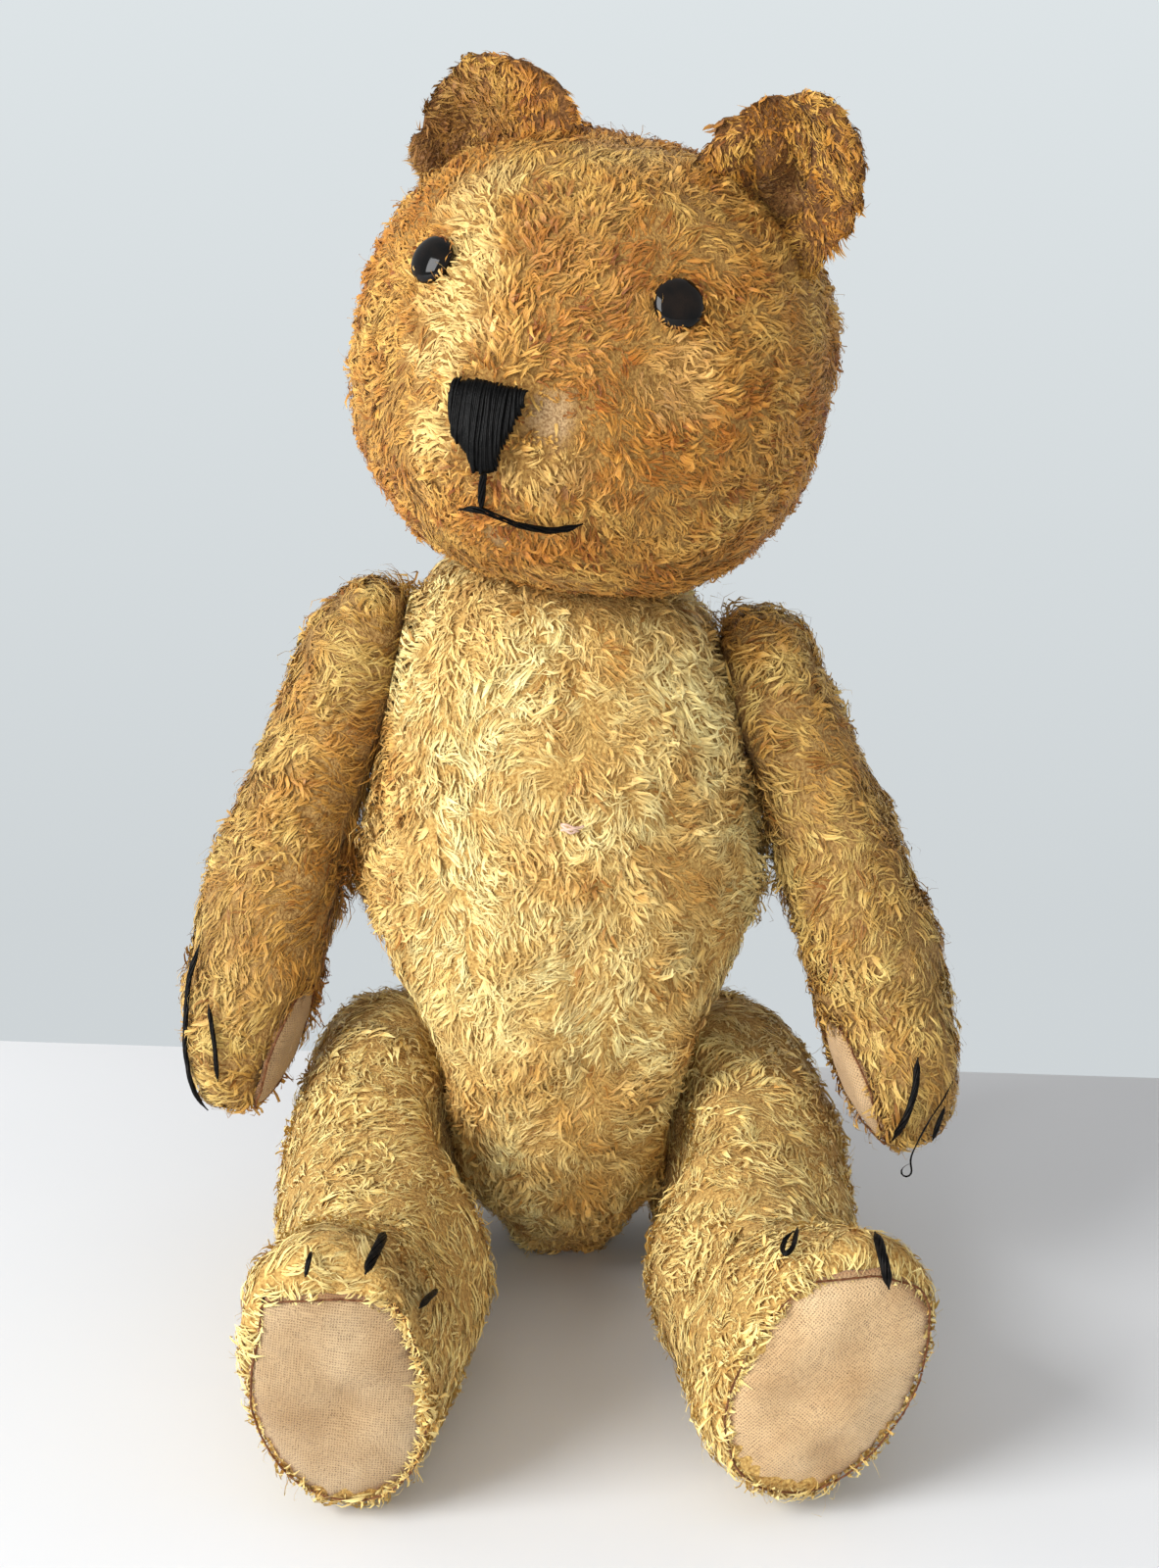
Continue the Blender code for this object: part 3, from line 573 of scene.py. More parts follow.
def remeshed(name, node, voxel):
    """A closed cloth skin of one solid: its mesh merged and rebuilt in even small squares."""
    solid = corners(node).reshape(-1, 3)
    merged, index = np.unique(np.round(solid, 6), axis=0, return_inverse=True)
    made = mesh_object(name, merged, index.reshape(-1, 3))
    step = made.modifiers.new("even", "REMESH")
    step.mode, step.voxel_size, step.use_smooth_shade = "VOXEL", voxel, True
    settle(made)
    return made


def bed_in(obj, body, depth):
    """Draws a skin in to leave room for its pile, except where it is squeezed at a joint or the ground."""
    points, out = places(obj.data), normals(obj.data)
    held = np.maximum(touching(body, points, out), 0.75 * (1 - fade(points[:, 2], *GROUNDED)))
    drawn = depth * (1 - held) + TOUCHING
    move_to(obj.data, points - out * drawn[:, None])


# lumps of the stuffing as a wave's length, seed and height; the ears have one more
LUMPS = ((0.030, 5, 0.0009), (0.012, 6, 0.0003))
EAR_LUMPS = (*LUMPS, (0.020, 7, 0.0011))
PRESSURE = 4.0
FRAMES = 20


def inflate(pieces, cap):
    """Simulates all the cloth skins at once as stuffed bags, without gravity.

    `pieces` gives each skin's body. A point moves at most `cap`, never inward, half of `cap` at
    least, and less where its body is squeezed. The lumps are added to that, and each groove takes
    off depth * exp(-(distance / half width)^2).
    """
    before = {piece: places(piece.data) for piece in pieces}
    moves = {piece: normals(piece.data) * cap * 0.8 for piece in pieces}
    scene = bpy.context.scene
    for piece in pieces:
        cloth = piece.modifiers.new("stuffed", "CLOTH")
        cloth.settings.use_pressure = True
        cloth.settings.uniform_pressure_force = PRESSURE
        cloth.settings.effector_weights.gravity = 0.0
        cloth.settings.quality = 4
        cloth.point_cache.frame_start, cloth.point_cache.frame_end = 1, FRAMES
    for number in range(1, FRAMES + 1):
        scene.frame_set(number)
    graph = bpy.context.evaluated_depsgraph_get()
    moves = {piece: places(piece.evaluated_get(graph).data) - before[piece] for piece in pieces}
    for piece in pieces:
        piece.modifiers.clear()
    scene.frame_set(1)
    for piece, body in pieces.items():
        start, move, out = before[piece], moves[piece], normals(piece.data)
        move = move + (np.maximum(dot(move, out), cap * 0.5) - dot(move, out))[:, None] * out
        length = np.linalg.norm(move, axis=1, keepdims=True)
        move = move * np.minimum(1, cap / np.maximum(length, 1e-9))
        free = 1 - touching(body, start, out)
        lumps = sum(waves(start, size, seed) * height
                    for size, seed, height in (EAR_LUMPS if "ear" in piece.name else LUMPS))
        for first, last, depth, half in grooves(body):
            lumps = lumps - depth * np.exp(-(along_segment(start, first, last) / half) ** 2)
        moved = start + (move + out * lumps[:, None]) * free[:, None]
        move_to(piece.data, kept_apart(body, moved))


# ---------------- pile

def tuft_mesh(name, root, out, way, facts, body, steps=3):
    """Flat tapering tufts that bend over the cloth.

    A tuft's middle line turns in the cloth's plane by `curl` along its length and by `wave` times a
    sine, rises over it as lift * s * (1.9 - 1.3 s), leans toward its lock's tip by pull * s^1.5, and
    follows the cloth's own curve by sink * s^2. Its width is width * (0.55 + 1.35 s) * (1 - s^1.7).
    """
    count = len(root)
    share = np.linspace(0, 1, steps + 1)
    half = (share[1:] + share[:-1]) / 2
    side = np.cross(out, way)
    angle = facts["curl"][:, None] * (half - 0.35)
    angle = angle + facts["wave"][:, None] * np.sin(5.5 * half + facts["phase"][:, None])
    pace = np.cos(angle)[..., None] * way[:, None] + np.sin(angle)[..., None] * side[:, None]
    line = np.concatenate([np.zeros((count, 1, 3)), np.cumsum(pace, 1)], 1)
    line = root[:, None] + line * (facts["length"] / steps)[:, None, None]
    rise = facts["lift"][:, None] * share * (1.9 - 1.3 * share) - facts["sink"][:, None] * share ** 2
    line += rise[..., None] * out[:, None] + facts["pull"][:, None] * (share ** 1.5)[:, None]
    ahead = np.concatenate([pace, pace[:, -1:]], 1)
    flat = np.cross(out[:, None], ahead)
    roll = facts["roll"][:, None, None]
    across = np.cos(roll) * flat + np.sin(roll) * out[:, None]
    wide = facts["width"][:, None] * (0.55 + 1.35 * share) * (1 - share ** 1.7)
    left = line - across * wide[..., None] / 2
    right = line + across * wide[..., None] / 2
    rows = np.stack([left[:, :-1], right[:, :-1]], axis=2).reshape(count, -1, 3)
    points = np.concatenate([rows, line[:, -1:]], 1)
    each = points.shape[1]
    start = (np.arange(count) * each)[:, None, None]
    step = np.arange(steps - 1) * 2
    quads = np.stack([step, step + 2, step + 3, step + 1], -1)[None] + start
    tips = np.array([[each - 3, each - 1, each - 2]])[None] + start
    made = mesh_object(name, kept_apart(body, points.reshape(-1, 3), -CROSSING), quads.reshape(-1, 4),
                       tips.reshape(-1, 3))
    along = np.concatenate([np.repeat(share[:-1], 2), [1.0]])
    over = np.concatenate([np.tile([0.0, 1.0], steps), [0.5]])
    colour = np.empty((count, each, 4))
    colour[..., 0], colour[..., 1] = over, along
    colour[..., 2], colour[..., 3] = facts["tone"][:, None], facts["soil"][:, None]
    store(made, "pile", "FLOAT_COLOR", colour)
    bake_cells(made, over, along, count)
    return made


def bake_cells(obj, over, along, count):
    """A UV map that lays each tuft in its own square of one even grid."""
    across = math.ceil(math.sqrt(count))
    cell = np.arange(count)
    corner = np.stack([cell % across, cell // across], -1)[:, None]
    inner = np.stack([over, along], -1)[None] * 0.8 + 0.1
    spots = ((corner + inner) / across).reshape(-1, 2)
    index = np.empty(len(obj.data.loops), dtype=np.int32)
    obj.data.loops.foreach_get("vertex_index", index)
    layer = obj.data.uv_layers.new(name="OFBake")
    layer.data.foreach_set("uv", packed(spots[index]))


def scattered(rng, points, out, triangles, count, weight):
    """Points spread over triangles by area times weight, with the normals there."""
    a, b, c = (points[triangles[:, corner]] for corner in range(3))
    square = np.cross(b - a, c - a)
    area = np.linalg.norm(square, axis=1) * weight((a + b + c) / 3, unit(square))
    bounds = np.cumsum(area)
    pick = np.searchsorted(bounds, (np.arange(count) + rng.uniform(size=count)) / count * bounds[-1])
    pick = np.minimum(pick, len(triangles) - 1)
    u, v = rng.uniform(size=(2, count))
    fold = u + v > 1
    u, v = np.where(fold, 1 - u, u)[:, None], np.where(fold, 1 - v, v)[:, None]
    chosen = triangles[pick]
    spot = points[chosen[:, 0]] * (1 - u - v) + points[chosen[:, 1]] * u + points[chosen[:, 2]] * v
    facing = out[chosen[:, 0]] * (1 - u - v) + out[chosen[:, 1]] * u + out[chosen[:, 2]] * v
    return spot, unit(facing)


def combed(spot, out, nap, swirl, seed):
    """The way the pile lies: its nap laid in the cloth's plane, then turned by a smooth swirl."""
    way = unit(nap - dot(nap, out)[:, None] * out)
    turn = swirl * (1.25 * waves(spot, 0.055, seed) + 0.75 * waves(spot, 0.020, seed + 1))
    return way * np.cos(turn)[:, None] + np.cross(out, way) * np.sin(turn)[:, None]


# the bodies whose cloth hangs beside a body's own, and how far off it counts as near and as far
NEIGHBOURS = {"torso": ("left_arm", "right_arm"), "left_arm": ("torso",), "right_arm": ("torso",)}
GAP = (0.007, 0.014)


def beside_neighbour(body, spot):
    """How near a neighbour's cloth is: 1 where it is near enough to hide the gap, and 0 far off."""
    share = np.zeros(len(spot))
    for neighbour in NEIGHBOURS.get(body, ()):
        cloth = places(bpy.data.objects[neighbour + "_cloth"].data)
        away = np.linalg.norm(spot - cloth[nearest(spot, cloth)], axis=1)
        share = np.maximum(share, 1 - fade(away, *GAP))
    return share


def grow(name, cloth, body, plan, count, seed):
    """Pile on a cloth body: tufts gathered into locks that lean one way and meet at their tips.

    The plan gives how many tufts a lock has, the shares of loose and of thin tufts, how far locks
    stray from the nap and tufts spread from their lock, if loose or not, the size of the calmer
    places, and each patch that the pile laps over, with how far it does.
    """
    rng = np.random.default_rng(seed)
    points, out, triangles = places(cloth.data), normals(cloth.data), triangles_of(cloth.data)
    spot, facing = scattered(rng, points, out, triangles, count, plan["weight"])
    locks = rng.choice(count, count // plan["per_lock"], replace=False)
    lock = nearest(spot, spot[locks])
    loose = rng.uniform(size=count) < plan["loose"]
    lock_way = combed(spot[locks], facing[locks], plan["nap"](spot[locks]), plan["swirl"], plan["seed"])
    lock_way = unit(lock_way + rng.normal(size=lock_way.shape) * plan["stray"])
    thin = rng.uniform(size=count) < plan["thin"]
    calm = fade(waves(spot, plan["calm_size"], plan["seed"] + 5), -0.3, 0.5)
    spread = np.where(loose, *plan["spread"]) * (1 - 0.6 * calm)
    way = lock_way[lock] + rng.normal(size=spot.shape) * spread[:, None]
    way = unit(way - dot(way, facing)[:, None] * facing)
    length = plan["length"] * rng.uniform(0.7, 1.3, count) * rng.uniform(0.75, 1.2, len(locks))[lock]
    length = length * (1 - 0.65 * spots(BALD, body, spot, 1.7))
    narrow = beside_neighbour(body, spot)
    length = length * (1 + 0.35 * narrow)
    beside = np.zeros(count)
    for lie, lap in plan["bare"]:
        rim = past_rim(lie, spot)
        close = 1 - fade(rim, 0.001, 0.006)
        beside = np.maximum(beside, close)
        lean = unit(lie["mid"] - spot) * (close * rng.uniform(-0.3, plan["overlap"], count))[:, None]
        way = unit(way + lean - dot(lean, facing)[:, None] * facing)
        laps = lap * rng.uniform(0.2, 1.6, count)
        over = past_rim(lie, spot + way * length[:, None]) < -laps
        length = np.where(over, np.minimum(length, np.maximum(rim + laps, 0.0012)), length)
    tip = spot + way * length[:, None]
    under = nearest(tip, points)
    sink = dot(tip - points[under], out[under])
    gather = spot[locks][lock] - spot
    gather -= dot(gather, facing)[:, None] * facing
    sign = rng.choice([-1.0, 1.0], len(locks))
    facts = {
        "length": length,
        "curl": ((sign * rng.uniform(*plan["curl"], len(locks)))[lock] + rng.normal(size=count) * 0.35)
        * (1 - 0.5 * calm),
        "wave": plan["wave"] * rng.uniform(0.3, 1.0, len(locks))[lock],
        "phase": rng.uniform(0, TURN, len(locks))[lock] + rng.normal(size=count) * 0.4,
        "lift": (plan["lift"] * rng.uniform(0.3, 1.0, count) * rng.uniform(0.5, 1.4, len(locks))[lock]
                 * (1.15 - 0.45 * calm) * (1 + 0.9 * beside) * np.where(thin, 1.7, 1.0)
                 * np.where(loose, 1.35, 1.0) * (1 + 1.5 * narrow)),
        "sink": np.clip(sink, -0.004, 0.004),
        "pull": gather * np.where(loose, 0.0, rng.uniform(0.3, 0.8, count))[:, None],
        "roll": rng.normal(size=count) * 0.28,
        "width": (plan["width"] * np.exp(rng.normal(size=count) * 0.42) * np.where(thin, 0.22, 1.0)
                  * (1 - 0.25 * calm)),
        "tone": 0.62 * rng.uniform(size=len(locks))[lock] + 0.38 * rng.uniform(size=count),
        "soil": stain_shade_and_highlight(body, spot),
    }
    made = tuft_mesh(name, spot - facing * ROOTED, facing, way, facts, body)
    hand_in(made, plan["finish"], body, plan["slot"])


# ---------------- places on the bear

def patch(node, skin):
    """The lie of a node on the outside of a body: middle, right, up, outward and convex outline.

    The outline's reach at an angle t is the least h(f) / cos(f - t) over all directions f, where
    h(f) is how far the node's points reach in direction f.
    """
    cloud = corners(node).reshape(-1, 3)
    mid = middle(node)
    out = main_axes(cloud)[2]
    out = out * np.sign(out @ (mid - middle(skin)))
    up = unit(UP - (UP @ out) * out)
    right = np.cross(up, out)
    flat = np.stack([(cloud - mid) @ right, (cloud - mid) @ up], -1)
    turn = np.linspace(0, TURN, 72, endpoint=False)
    reach = (flat @ np.stack([np.cos(turn), np.sin(turn)])).max(0)
    lean = np.cos(turn[:, None] - turn[None])
    radius = np.where(lean > 0.05, reach[:, None] / np.maximum(lean, 0.05), np.inf).min(0)
    return {"mid": mid, "out": out, "up": up, "right": right, "turn": turn, "radius": radius}


def outlined(lie, pad):
    """The patch with the outline that its pad shows between the pile, where one is listed."""
    if pad not in PAD_OUTLINES:
        return lie
    corner = mm(PAD_OUTLINES[pad])
    share = np.linspace(0, 1, 12, endpoint=False)[:, None]
    edge = np.concatenate([first + (second - first) * share
                           for first, second in zip(corner, np.roll(corner, -1, 0))])
    angle = np.arctan2(edge[:, 1], edge[:, 0]) % TURN
    order = np.argsort(angle)
    radius = np.interp(lie["turn"], angle[order], np.hypot(*edge[order].T), period=TURN)
    return dict(lie, radius=np.minimum(radius, lie["radius"]))


def edge_at(lie, turn):
    """How far a patch's outline reaches from its middle, at an angle."""
    return np.interp(turn, lie["turn"], lie["radius"], period=TURN)


def on_patch(lie, flat_x, flat_y, height=0.0):
    """The places at x to a patch's right, y up it, and a height over its middle plane."""
    height = np.broadcast_to(height, flat_x.shape)
    return (lie["mid"] + flat_x[..., None] * lie["right"] + flat_y[..., None] * lie["up"]
            + height[..., None] * lie["out"])


def past_rim(lie, points, depth=0.008):
    """How far points are outside a patch's outline, seen along its facing; negative inside."""
    off = points - lie["mid"]
    x, y = off @ lie["right"], off @ lie["up"]
    radius = edge_at(lie, np.arctan2(y, x) % TURN)
    return np.hypot(x, y) - radius + 3 * np.maximum(np.abs(off @ lie["out"]) - depth, 0)


# The tables of this section are in millimetres.

# bald places, stains and painted shade, and paler places of painted highlight, each as a middle, a radius and
# a strength from 0 to 1
BALD = {
    "head": [((-3, -90.5, 312), 8, 1), ((-20.9, -79.6, 271), 6, 0.5)],
    "torso": [((0, -64, 177.7), 4, 0.7)],
}
# Besides stains, some spots paint shade: the head's spots round the ears darken the ear hollows, and the
# torso's small spots in its creases paint the shade there
STAINS_AND_SHADE = {
    "head": [((67.1, -20, 371.1), 10, 0.7), ((-43.9, 10, 380), 12, 0.6), ((28.7, -69.3, 357), 5.5, 0.6),
             ((2.6, -62.5, 364), 21, 0.24), ((19.9, -76.5, 347.2), 16, 0.24),
             ((-36.7, 11.1, 385.9), 13, 0.55), ((-24, 9.9, 383.6), 11, 0.38), ((-30, 10.5, 393), 15, 0.5),
             ((5.6, -86, 330), 15, 0.15), ((16.4, -83.9, 278.1), 2.2, 0.75),
             ((63.2, -65.5, 328.2), 1.6, 0.7)],
    "right_leg": [((-52, -174, 86), 17, 0.36), ((-40, -170, 72), 12, 0.38)],
    "left_leg": [((70, -120, 70), 20, 0.12)],
    "right_arm": [((-105, -10, 200), 25, 0.12), ((-112.5, -37.5, 128.7), 24, 0.15)],
    "left_arm": [((115, -40, 120), 22, 0.12)],
    "torso": [((-41, -49.2, 189.7), 3.5, 0.35), ((-54.2, -48.3, 146.4), 3, 0.35),
              ((49.2, -41.8, 188.9), 3, 0.35), ((60.1, -33.1, 121.8), 3, 0.3)],
}
# Paler places, on the sides that the window lamp lights: painted highlight
PALE_HIGHLIGHTS = {
    "head": [((-23.9, -43.2, 372.4), 13, 0.55), ((-27.1, -59.6, 355.4), 12, 0.7),
             ((-33.6, -70.7, 336), 13, 0.7), ((-38.4, -83.8, 307.8), 10, 0.5), ((-3, -96.6, 299), 11, 0.3),
             ((34.4, -82, 323.6), 11, 0.25), ((23.4, -28.6, 383.6), 16, 0.25)],
    "torso": [((-31.6, -36.4, 234.4), 16, 0.4), ((-28.9, -66.3, 109.7), 18, 0.4)],
    "right_leg": [((-77.4, -168.2, 90.6), 14, 0.3), ((-68.4, -150, 85), 18, 0.4)],
    "left_leg": [((32.9, -117.8, 49.1), 22, 0.45)],
}
# what shows of the soles between the pile, as points from the middle of the pad
PAD_OUTLINES = {
    "right_sole_pad": ((-20, 25), (2, 27), (23, 25.5), (24, 18), (26, 9), (26, -7), (24, -26), (20, -36),
                       (11, -37.5), (-2, -37), (-15, -31), (-20, -22), (-24, -9), (-23, 4), (-20.5, 15)),
    "left_sole_pad": ((29, 26), (13, 32), (-5.7, 31), (-14, 24), (-24, 10), (-29.5, 0), (-29.7, -13),
                      (-27, -25), (-20, -34), (-4, -36), (11, -35), (22, -21), (26, -5), (28.6, 10.6)),
}
# stitches as a count of strands, their spread, and points on the pile
STITCHES = {
    "right_arm": [
        (5, 0.6, ((-118.5, -33.6, 125.5), (-122.4, -34.6, 113.8), (-123.3, -38.7, 101.6),
                  (-123.7, -41.2, 92.2), (-121.9, -45.2, 82.2), (-119.4, -46.3, 75.9),
                  (-116, -47.7, 72.7))),
        (4, 0.5, ((-114.9, -44.9, 109.1), (-114.1, -46, 102.9), (-113.1, -48, 97), (-112.6, -49.5, 90.7),
                  (-112.1, -50.3, 84))),
    ],
    "left_arm": [
        (7, 0.9, ((114.7, -63.7, 98.5), (114.3, -65.5, 94.1), (114, -67.3, 89.7), (112.5, -68.7, 84.2),
                  (110.8, -70, 79.6), (106.9, -68.2, 71.2))),
        (2, 0.14, ((126.8, -60.4, 88.9), (122.9, -65.5, 83.8), (118.9, -68.8, 79.4), (115.9, -69.4, 73.5),
                   (112.9, -69.3, 66.2), (112.6, -69.6, 63.4), (114, -69.8, 60.9), (112.4, -69.9, 58.6),
                   (109.6, -69.8, 59.6), (109.8, -69.7, 62.6), (112.4, -69.5, 63.6))),
        (5, 0.6, ((123.9, -64.9, 81.8), (121.7, -67.1, 76.6), (119.9, -68.1, 71.2))),
    ],
    "right_leg": [
        (9, 1.1, ((-51, -165.3, 86.9), (-51.9, -173.9, 87.7), (-53.3, -179.1, 86.5), (-54.5, -183.3, 85.5),
                  (-55.5, -187, 84.2))),
        (7, 0.7, ((-35.9, -162.4, 66.6), (-38, -172.5, 69.3), (-40.5, -180.1, 69.7))),
        (4, 0.5, ((-71.5, -180, 87.9), (-71.9, -183.8, 87.2), (-72.9, -186, 82.7))),
        (3, 0.3, ((-85.8, -180.5, 73.5), (-86.2, -181, 68.2))),
    ],
    "left_leg": [
        (4, 0.4, ((70.4, -158, 85), (69.6, -163.2, 85), (68.5, -169.6, 84.3), (66.2, -172.2, 82.8),
                  (65.2, -168, 82.6), (66.6, -162.4, 83.5), (69.2, -160.2, 84.8))),
        (9, 1.1, ((92.4, -168, 88.2), (93.2, -173.5, 87.6), (93.9, -178.6, 85.4), (94.8, -181, 81.8),
                  (95.7, -181.2, 76.4))),
    ],
}
# the lines of the mouth, the lip and the mend on the belly
MOUTH = ((-29.9, -89, 285.2), (-26.2, -91.4, 286), (-22.7, -92.2, 285.8), (-17.5, -92.8, 283.6),
         (-11.8, -92.4, 281.2), (-7.4, -91.4, 280.1), (-3.2, -89.6, 278.9), (2.1, -88.5, 279.1),
         (7, -87.9, 280.6))
LIP = ((-21.9, -97.2, 300.6), (-22.6, -94.4, 294.5), (-23, -93, 289.8), (-23.1, -92.2, 285.6))
MEND = ((0.2, -65.2, 178.4), (7.4, -65, 177.6))
# seams and creases of a body as a start, an end, a depth and a half width
GROOVES = {
    "torso": [((5.5, -50.8, 225), (4.9, -68.2, 160.4), 1, 2.5),
              ((4.9, -68.2, 160.4), (5.2, -69, 120), 1.2, 2.8),
              ((5.2, -69, 110), (5.5, -64.1, 70), 2.2, 3.2), ((-41, -49.2, 197), (-37, -52, 183), 3.4, 3.4),
              ((49.2, -41.8, 192), (48.8, -43, 187), 2.2, 2.6)],
    "head": [((37.3, -78.6, 334.6), (49.1, -76.5, 318.1), 2.2, 3), ((65, -24, 380), (69, -25.5, 366), 6, 5),
             ((69, -26.5, 364), (77, -35, 348), 2, 4), ((-44.5, 9, 376), (-30, 11, 380), 5, 6)],
    "right_leg": [((-56.7, -52.1, 86.5), (-52.7, -127.7, 74), 1.6, 2.8),
                  ((-56, -164, 85), (-36, -164, 72), 1.6, 3)],
    "left_leg": [((56, -169, 78), (84, -164, 87), 1.6, 3)],
}


def spots(table, body, points, spread=1.0):
    """How strongly each point is inside any of a body's listed round spots, made larger by `spread`."""
    share = np.zeros(len(points))
    for centre, radius, strength in table.get(body, ()):
        radius = mm(radius) * spread
        away = np.linalg.norm(points - mm(centre), axis=1) + waves(points, 0.012, 3) * radius * 0.25
        share = np.maximum(share, strength * (1 - fade(away, radius * 0.6, radius * 1.25)))
    return share


def grooves(body):
    """Each seam or crease of a body in metres."""
    return [[mm(value) for value in groove] for groove in GROOVES.get(body, ())]


def along_segment(points, start, end):
    """How far points are from a straight segment."""
    run = end - start
    share = np.clip((points - start) @ run / (run @ run), 0, 1)
    return np.linalg.norm(points - start - share[:, None] * run, axis=1)


# ---------------- threads

def tubes(name, paths, radius, out, sides=6, flat=1.0):
    """Threads carried along many paths at once: a ring of `sides` points round each path point.

    A ring point is path + r cos(a) side + flat r sin(a) up, where side is square to the path and
    to `out`; each thread closes in a pole at either end.
    """
    count, steps = paths.shape[:2]
    ahead = unit(np.gradient(paths, axis=1))
    side = unit(np.cross(np.broadcast_to(out, paths.shape), ahead))
    up = np.cross(ahead, side)
    turn = np.linspace(0, TURN, sides, endpoint=False)[:, None]
    ring = np.cos(turn) * side[:, :, None] + flat * np.sin(turn) * up[:, :, None]
    rings = paths[:, :, None] + ring * radius[..., None, None]
    ends = np.stack([paths[:, 0], paths[:, -1]], 1)
    points = np.concatenate([rings.reshape(count, -1, 3), ends], 1)
    start = (np.arange(count) * points.shape[1])[:, None, None]
    quads, fans = closed_faces(steps, sides)
    return mesh_object(name, points.reshape(-1, 3), (quads[None] + start).reshape(-1, 4),
                       (fans[None] + start).reshape(-1, 3))


def bundle(line, out, strands, spread, seed, pitch=0.03, count=36):
    """The paths of strands that twist round a smoothed line.

    Each keeps `spread` from it, less toward its ends, and turns once a pitch.
    """
    rng = np.random.default_rng(seed)
    stops = np.concatenate([[0], np.cumsum(np.linalg.norm(np.diff(line, axis=0), axis=1))])
    at = np.linspace(0, stops[-1], count)
    middle_line = np.stack([np.interp(at, stops, line[:, axis]) for axis in range(3)], -1)
    for _ in range(3):
        middle_line[1:-1] = (middle_line[:-2] + 2 * middle_line[1:-1] + middle_line[2:]) / 4
    ahead = unit(np.gradient(middle_line, axis=0))
    side = unit(np.cross(np.broadcast_to(out, ahead.shape), ahead))
    up = np.cross(ahead, side)
    phase = TURN * (np.arange(strands)[:, None] / strands + at / pitch)
    phase = phase + rng.normal(size=(strands, 1)) * 0.25
    offset = np.cos(phase)[..., None] * side + 0.7 * np.sin(phase)[..., None] * up
    taper = np.clip(np.minimum(at, stops[-1] - at) / 0.004, 0.15, 1)
    return middle_line + offset * spread * taper[None, :, None]


def sewn(name, nodes, body, stitches, depth, material, waist=0.0):
    """Thick stitches of twisted strands, drawn to a point at both ends, in place of some thin CAD nodes.

    Each line lies `depth` under its listed points. A strand's radius is STRAND, or half that in a
    pair, times clip(9 * its share from the nearer end, 0.35 to 1) times (1 - waist * a bell at 0.36).
    """
    paths, thick = [], []
    centre = middle(body + "_skin")
    for number, (strands, spread, points) in enumerate(stitches):
        line = mm(points)
        out = unit(line.mean(0) - centre)
        paths.append(bundle(line - depth * out, out, strands, mm(spread), number))
        thick.extend([STRAND / 2 if strands == 2 else STRAND] * strands)
    paths = np.concatenate(paths)
    share = np.linspace(0, 1, paths.shape[1])
    taper = np.clip(np.minimum(share, 1 - share) * 9, 0.35, 1)
    taper = taper * (1 - waist * np.exp(-((share - 0.36) / 0.13) ** 2))
    radius = np.array(thick)[:, None] * taper
    made = tubes(name, paths, radius, unit(paths.reshape(-1, 3).mean(0) - centre))
    hand_in(made, material, body, "black_thread", *nodes)


# ---------------- pads

def front_of(node, lie, flat_x, flat_y, behind=0.05):
    """How far the node's outside stands over its middle plane at places in that plane, or nan beside it."""
    start = on_patch(lie, flat_x, flat_y) - behind * lie["out"]
    way = np.broadcast_to(lie["out"], start.shape)
    reach = farthest(start.reshape(-1, 3), way.reshape(-1, 3), corners(node)).reshape(flat_x.shape)
    return np.where(reach > 0, reach - behind, np.nan)


def pad_cloth(node, skin, seed, turned, around=96, thick=0.0030):
    """A woven pad: a polar grid domed over its node, gathered at its stitched rim.

    At a share s of the radius, its height is that of the node's own outside, smoothed, + lumps *
    (1 - s^4) - 2.2 mm * s^10 * (0.6 + 0.6 pucker). The back lies `thick` behind the smoothed outside.
    """
    lie = patch(node, skin)
    turn = np.linspace(0, TURN, around, endpoint=False)
    shown = np.minimum(outlined(lie, node)["radius"] + 0.0020, lie["radius"])
    radius = edge_at(dict(lie, radius=shown), turn)
    radius = radius * (1 + 0.012 * np.cos(turn * 23 + seed) + 0.010 * np.cos(turn * 7 + 2 * seed))
    share = np.concatenate([np.linspace(0.06, 0.9, 13), [0.94, 0.97, 0.99, 1.0]])[:, None]
    flat_x, flat_y = share * radius * np.cos(turn), share * radius * np.sin(turn)
    soft = front_of(node, lie, flat_x * 0.97, flat_y * 0.97)
    for row in range(1, len(share)):
        soft[row] = np.where(np.isnan(soft[row]), soft[row - 1], soft[row])
    for _ in range(3):
        soft[1:-1] = (soft[:-2] + soft[2:] + 2 * soft[1:-1]) / 4
        soft = (np.roll(soft, 1, 1) + np.roll(soft, -1, 1) + 2 * soft) / 4
    lump = waves(on_patch(lie, flat_x, flat_y).reshape(-1, 3), 0.022, seed).reshape(soft.shape) * 0.0007
    pucker = 0.5 * np.cos(turn * 41 + 3 * np.cos(turn * 3)) + 0.5
    front = soft + lump * (1 - share ** 4) - 0.0022 * share ** 10 * (0.6 + 0.6 * pucker)
    back = soft[::-1] - thick
    wide = np.concatenate([share, [[1.012]], share[::-1] * 0.99])
    flat_x, flat_y = wide * radius * np.cos(turn), wide * radius * np.sin(turn)
    grid = on_patch(lie, flat_x, flat_y, np.concatenate([front, (front[-1:] + back[:1]) / 2, back]))
    first = lie["mid"] + soft[0].mean() * lie["out"]
    made = closed_grid(node.replace("_pad", "_pad_cloth"), grid, first, first - thick * lie["out"])
    across, along, edge = (np.concatenate([rows.ravel(), [0, 0]])
                           for rows in (flat_x, flat_y, np.repeat(wide, around)))
    c, s = math.cos(turned), math.sin(turned)
    store(made, "cloth", "FLOAT_VECTOR", np.stack([across * c - along * s, across * s + along * c, edge], -1))
    return made


# ---------------- what a user may change

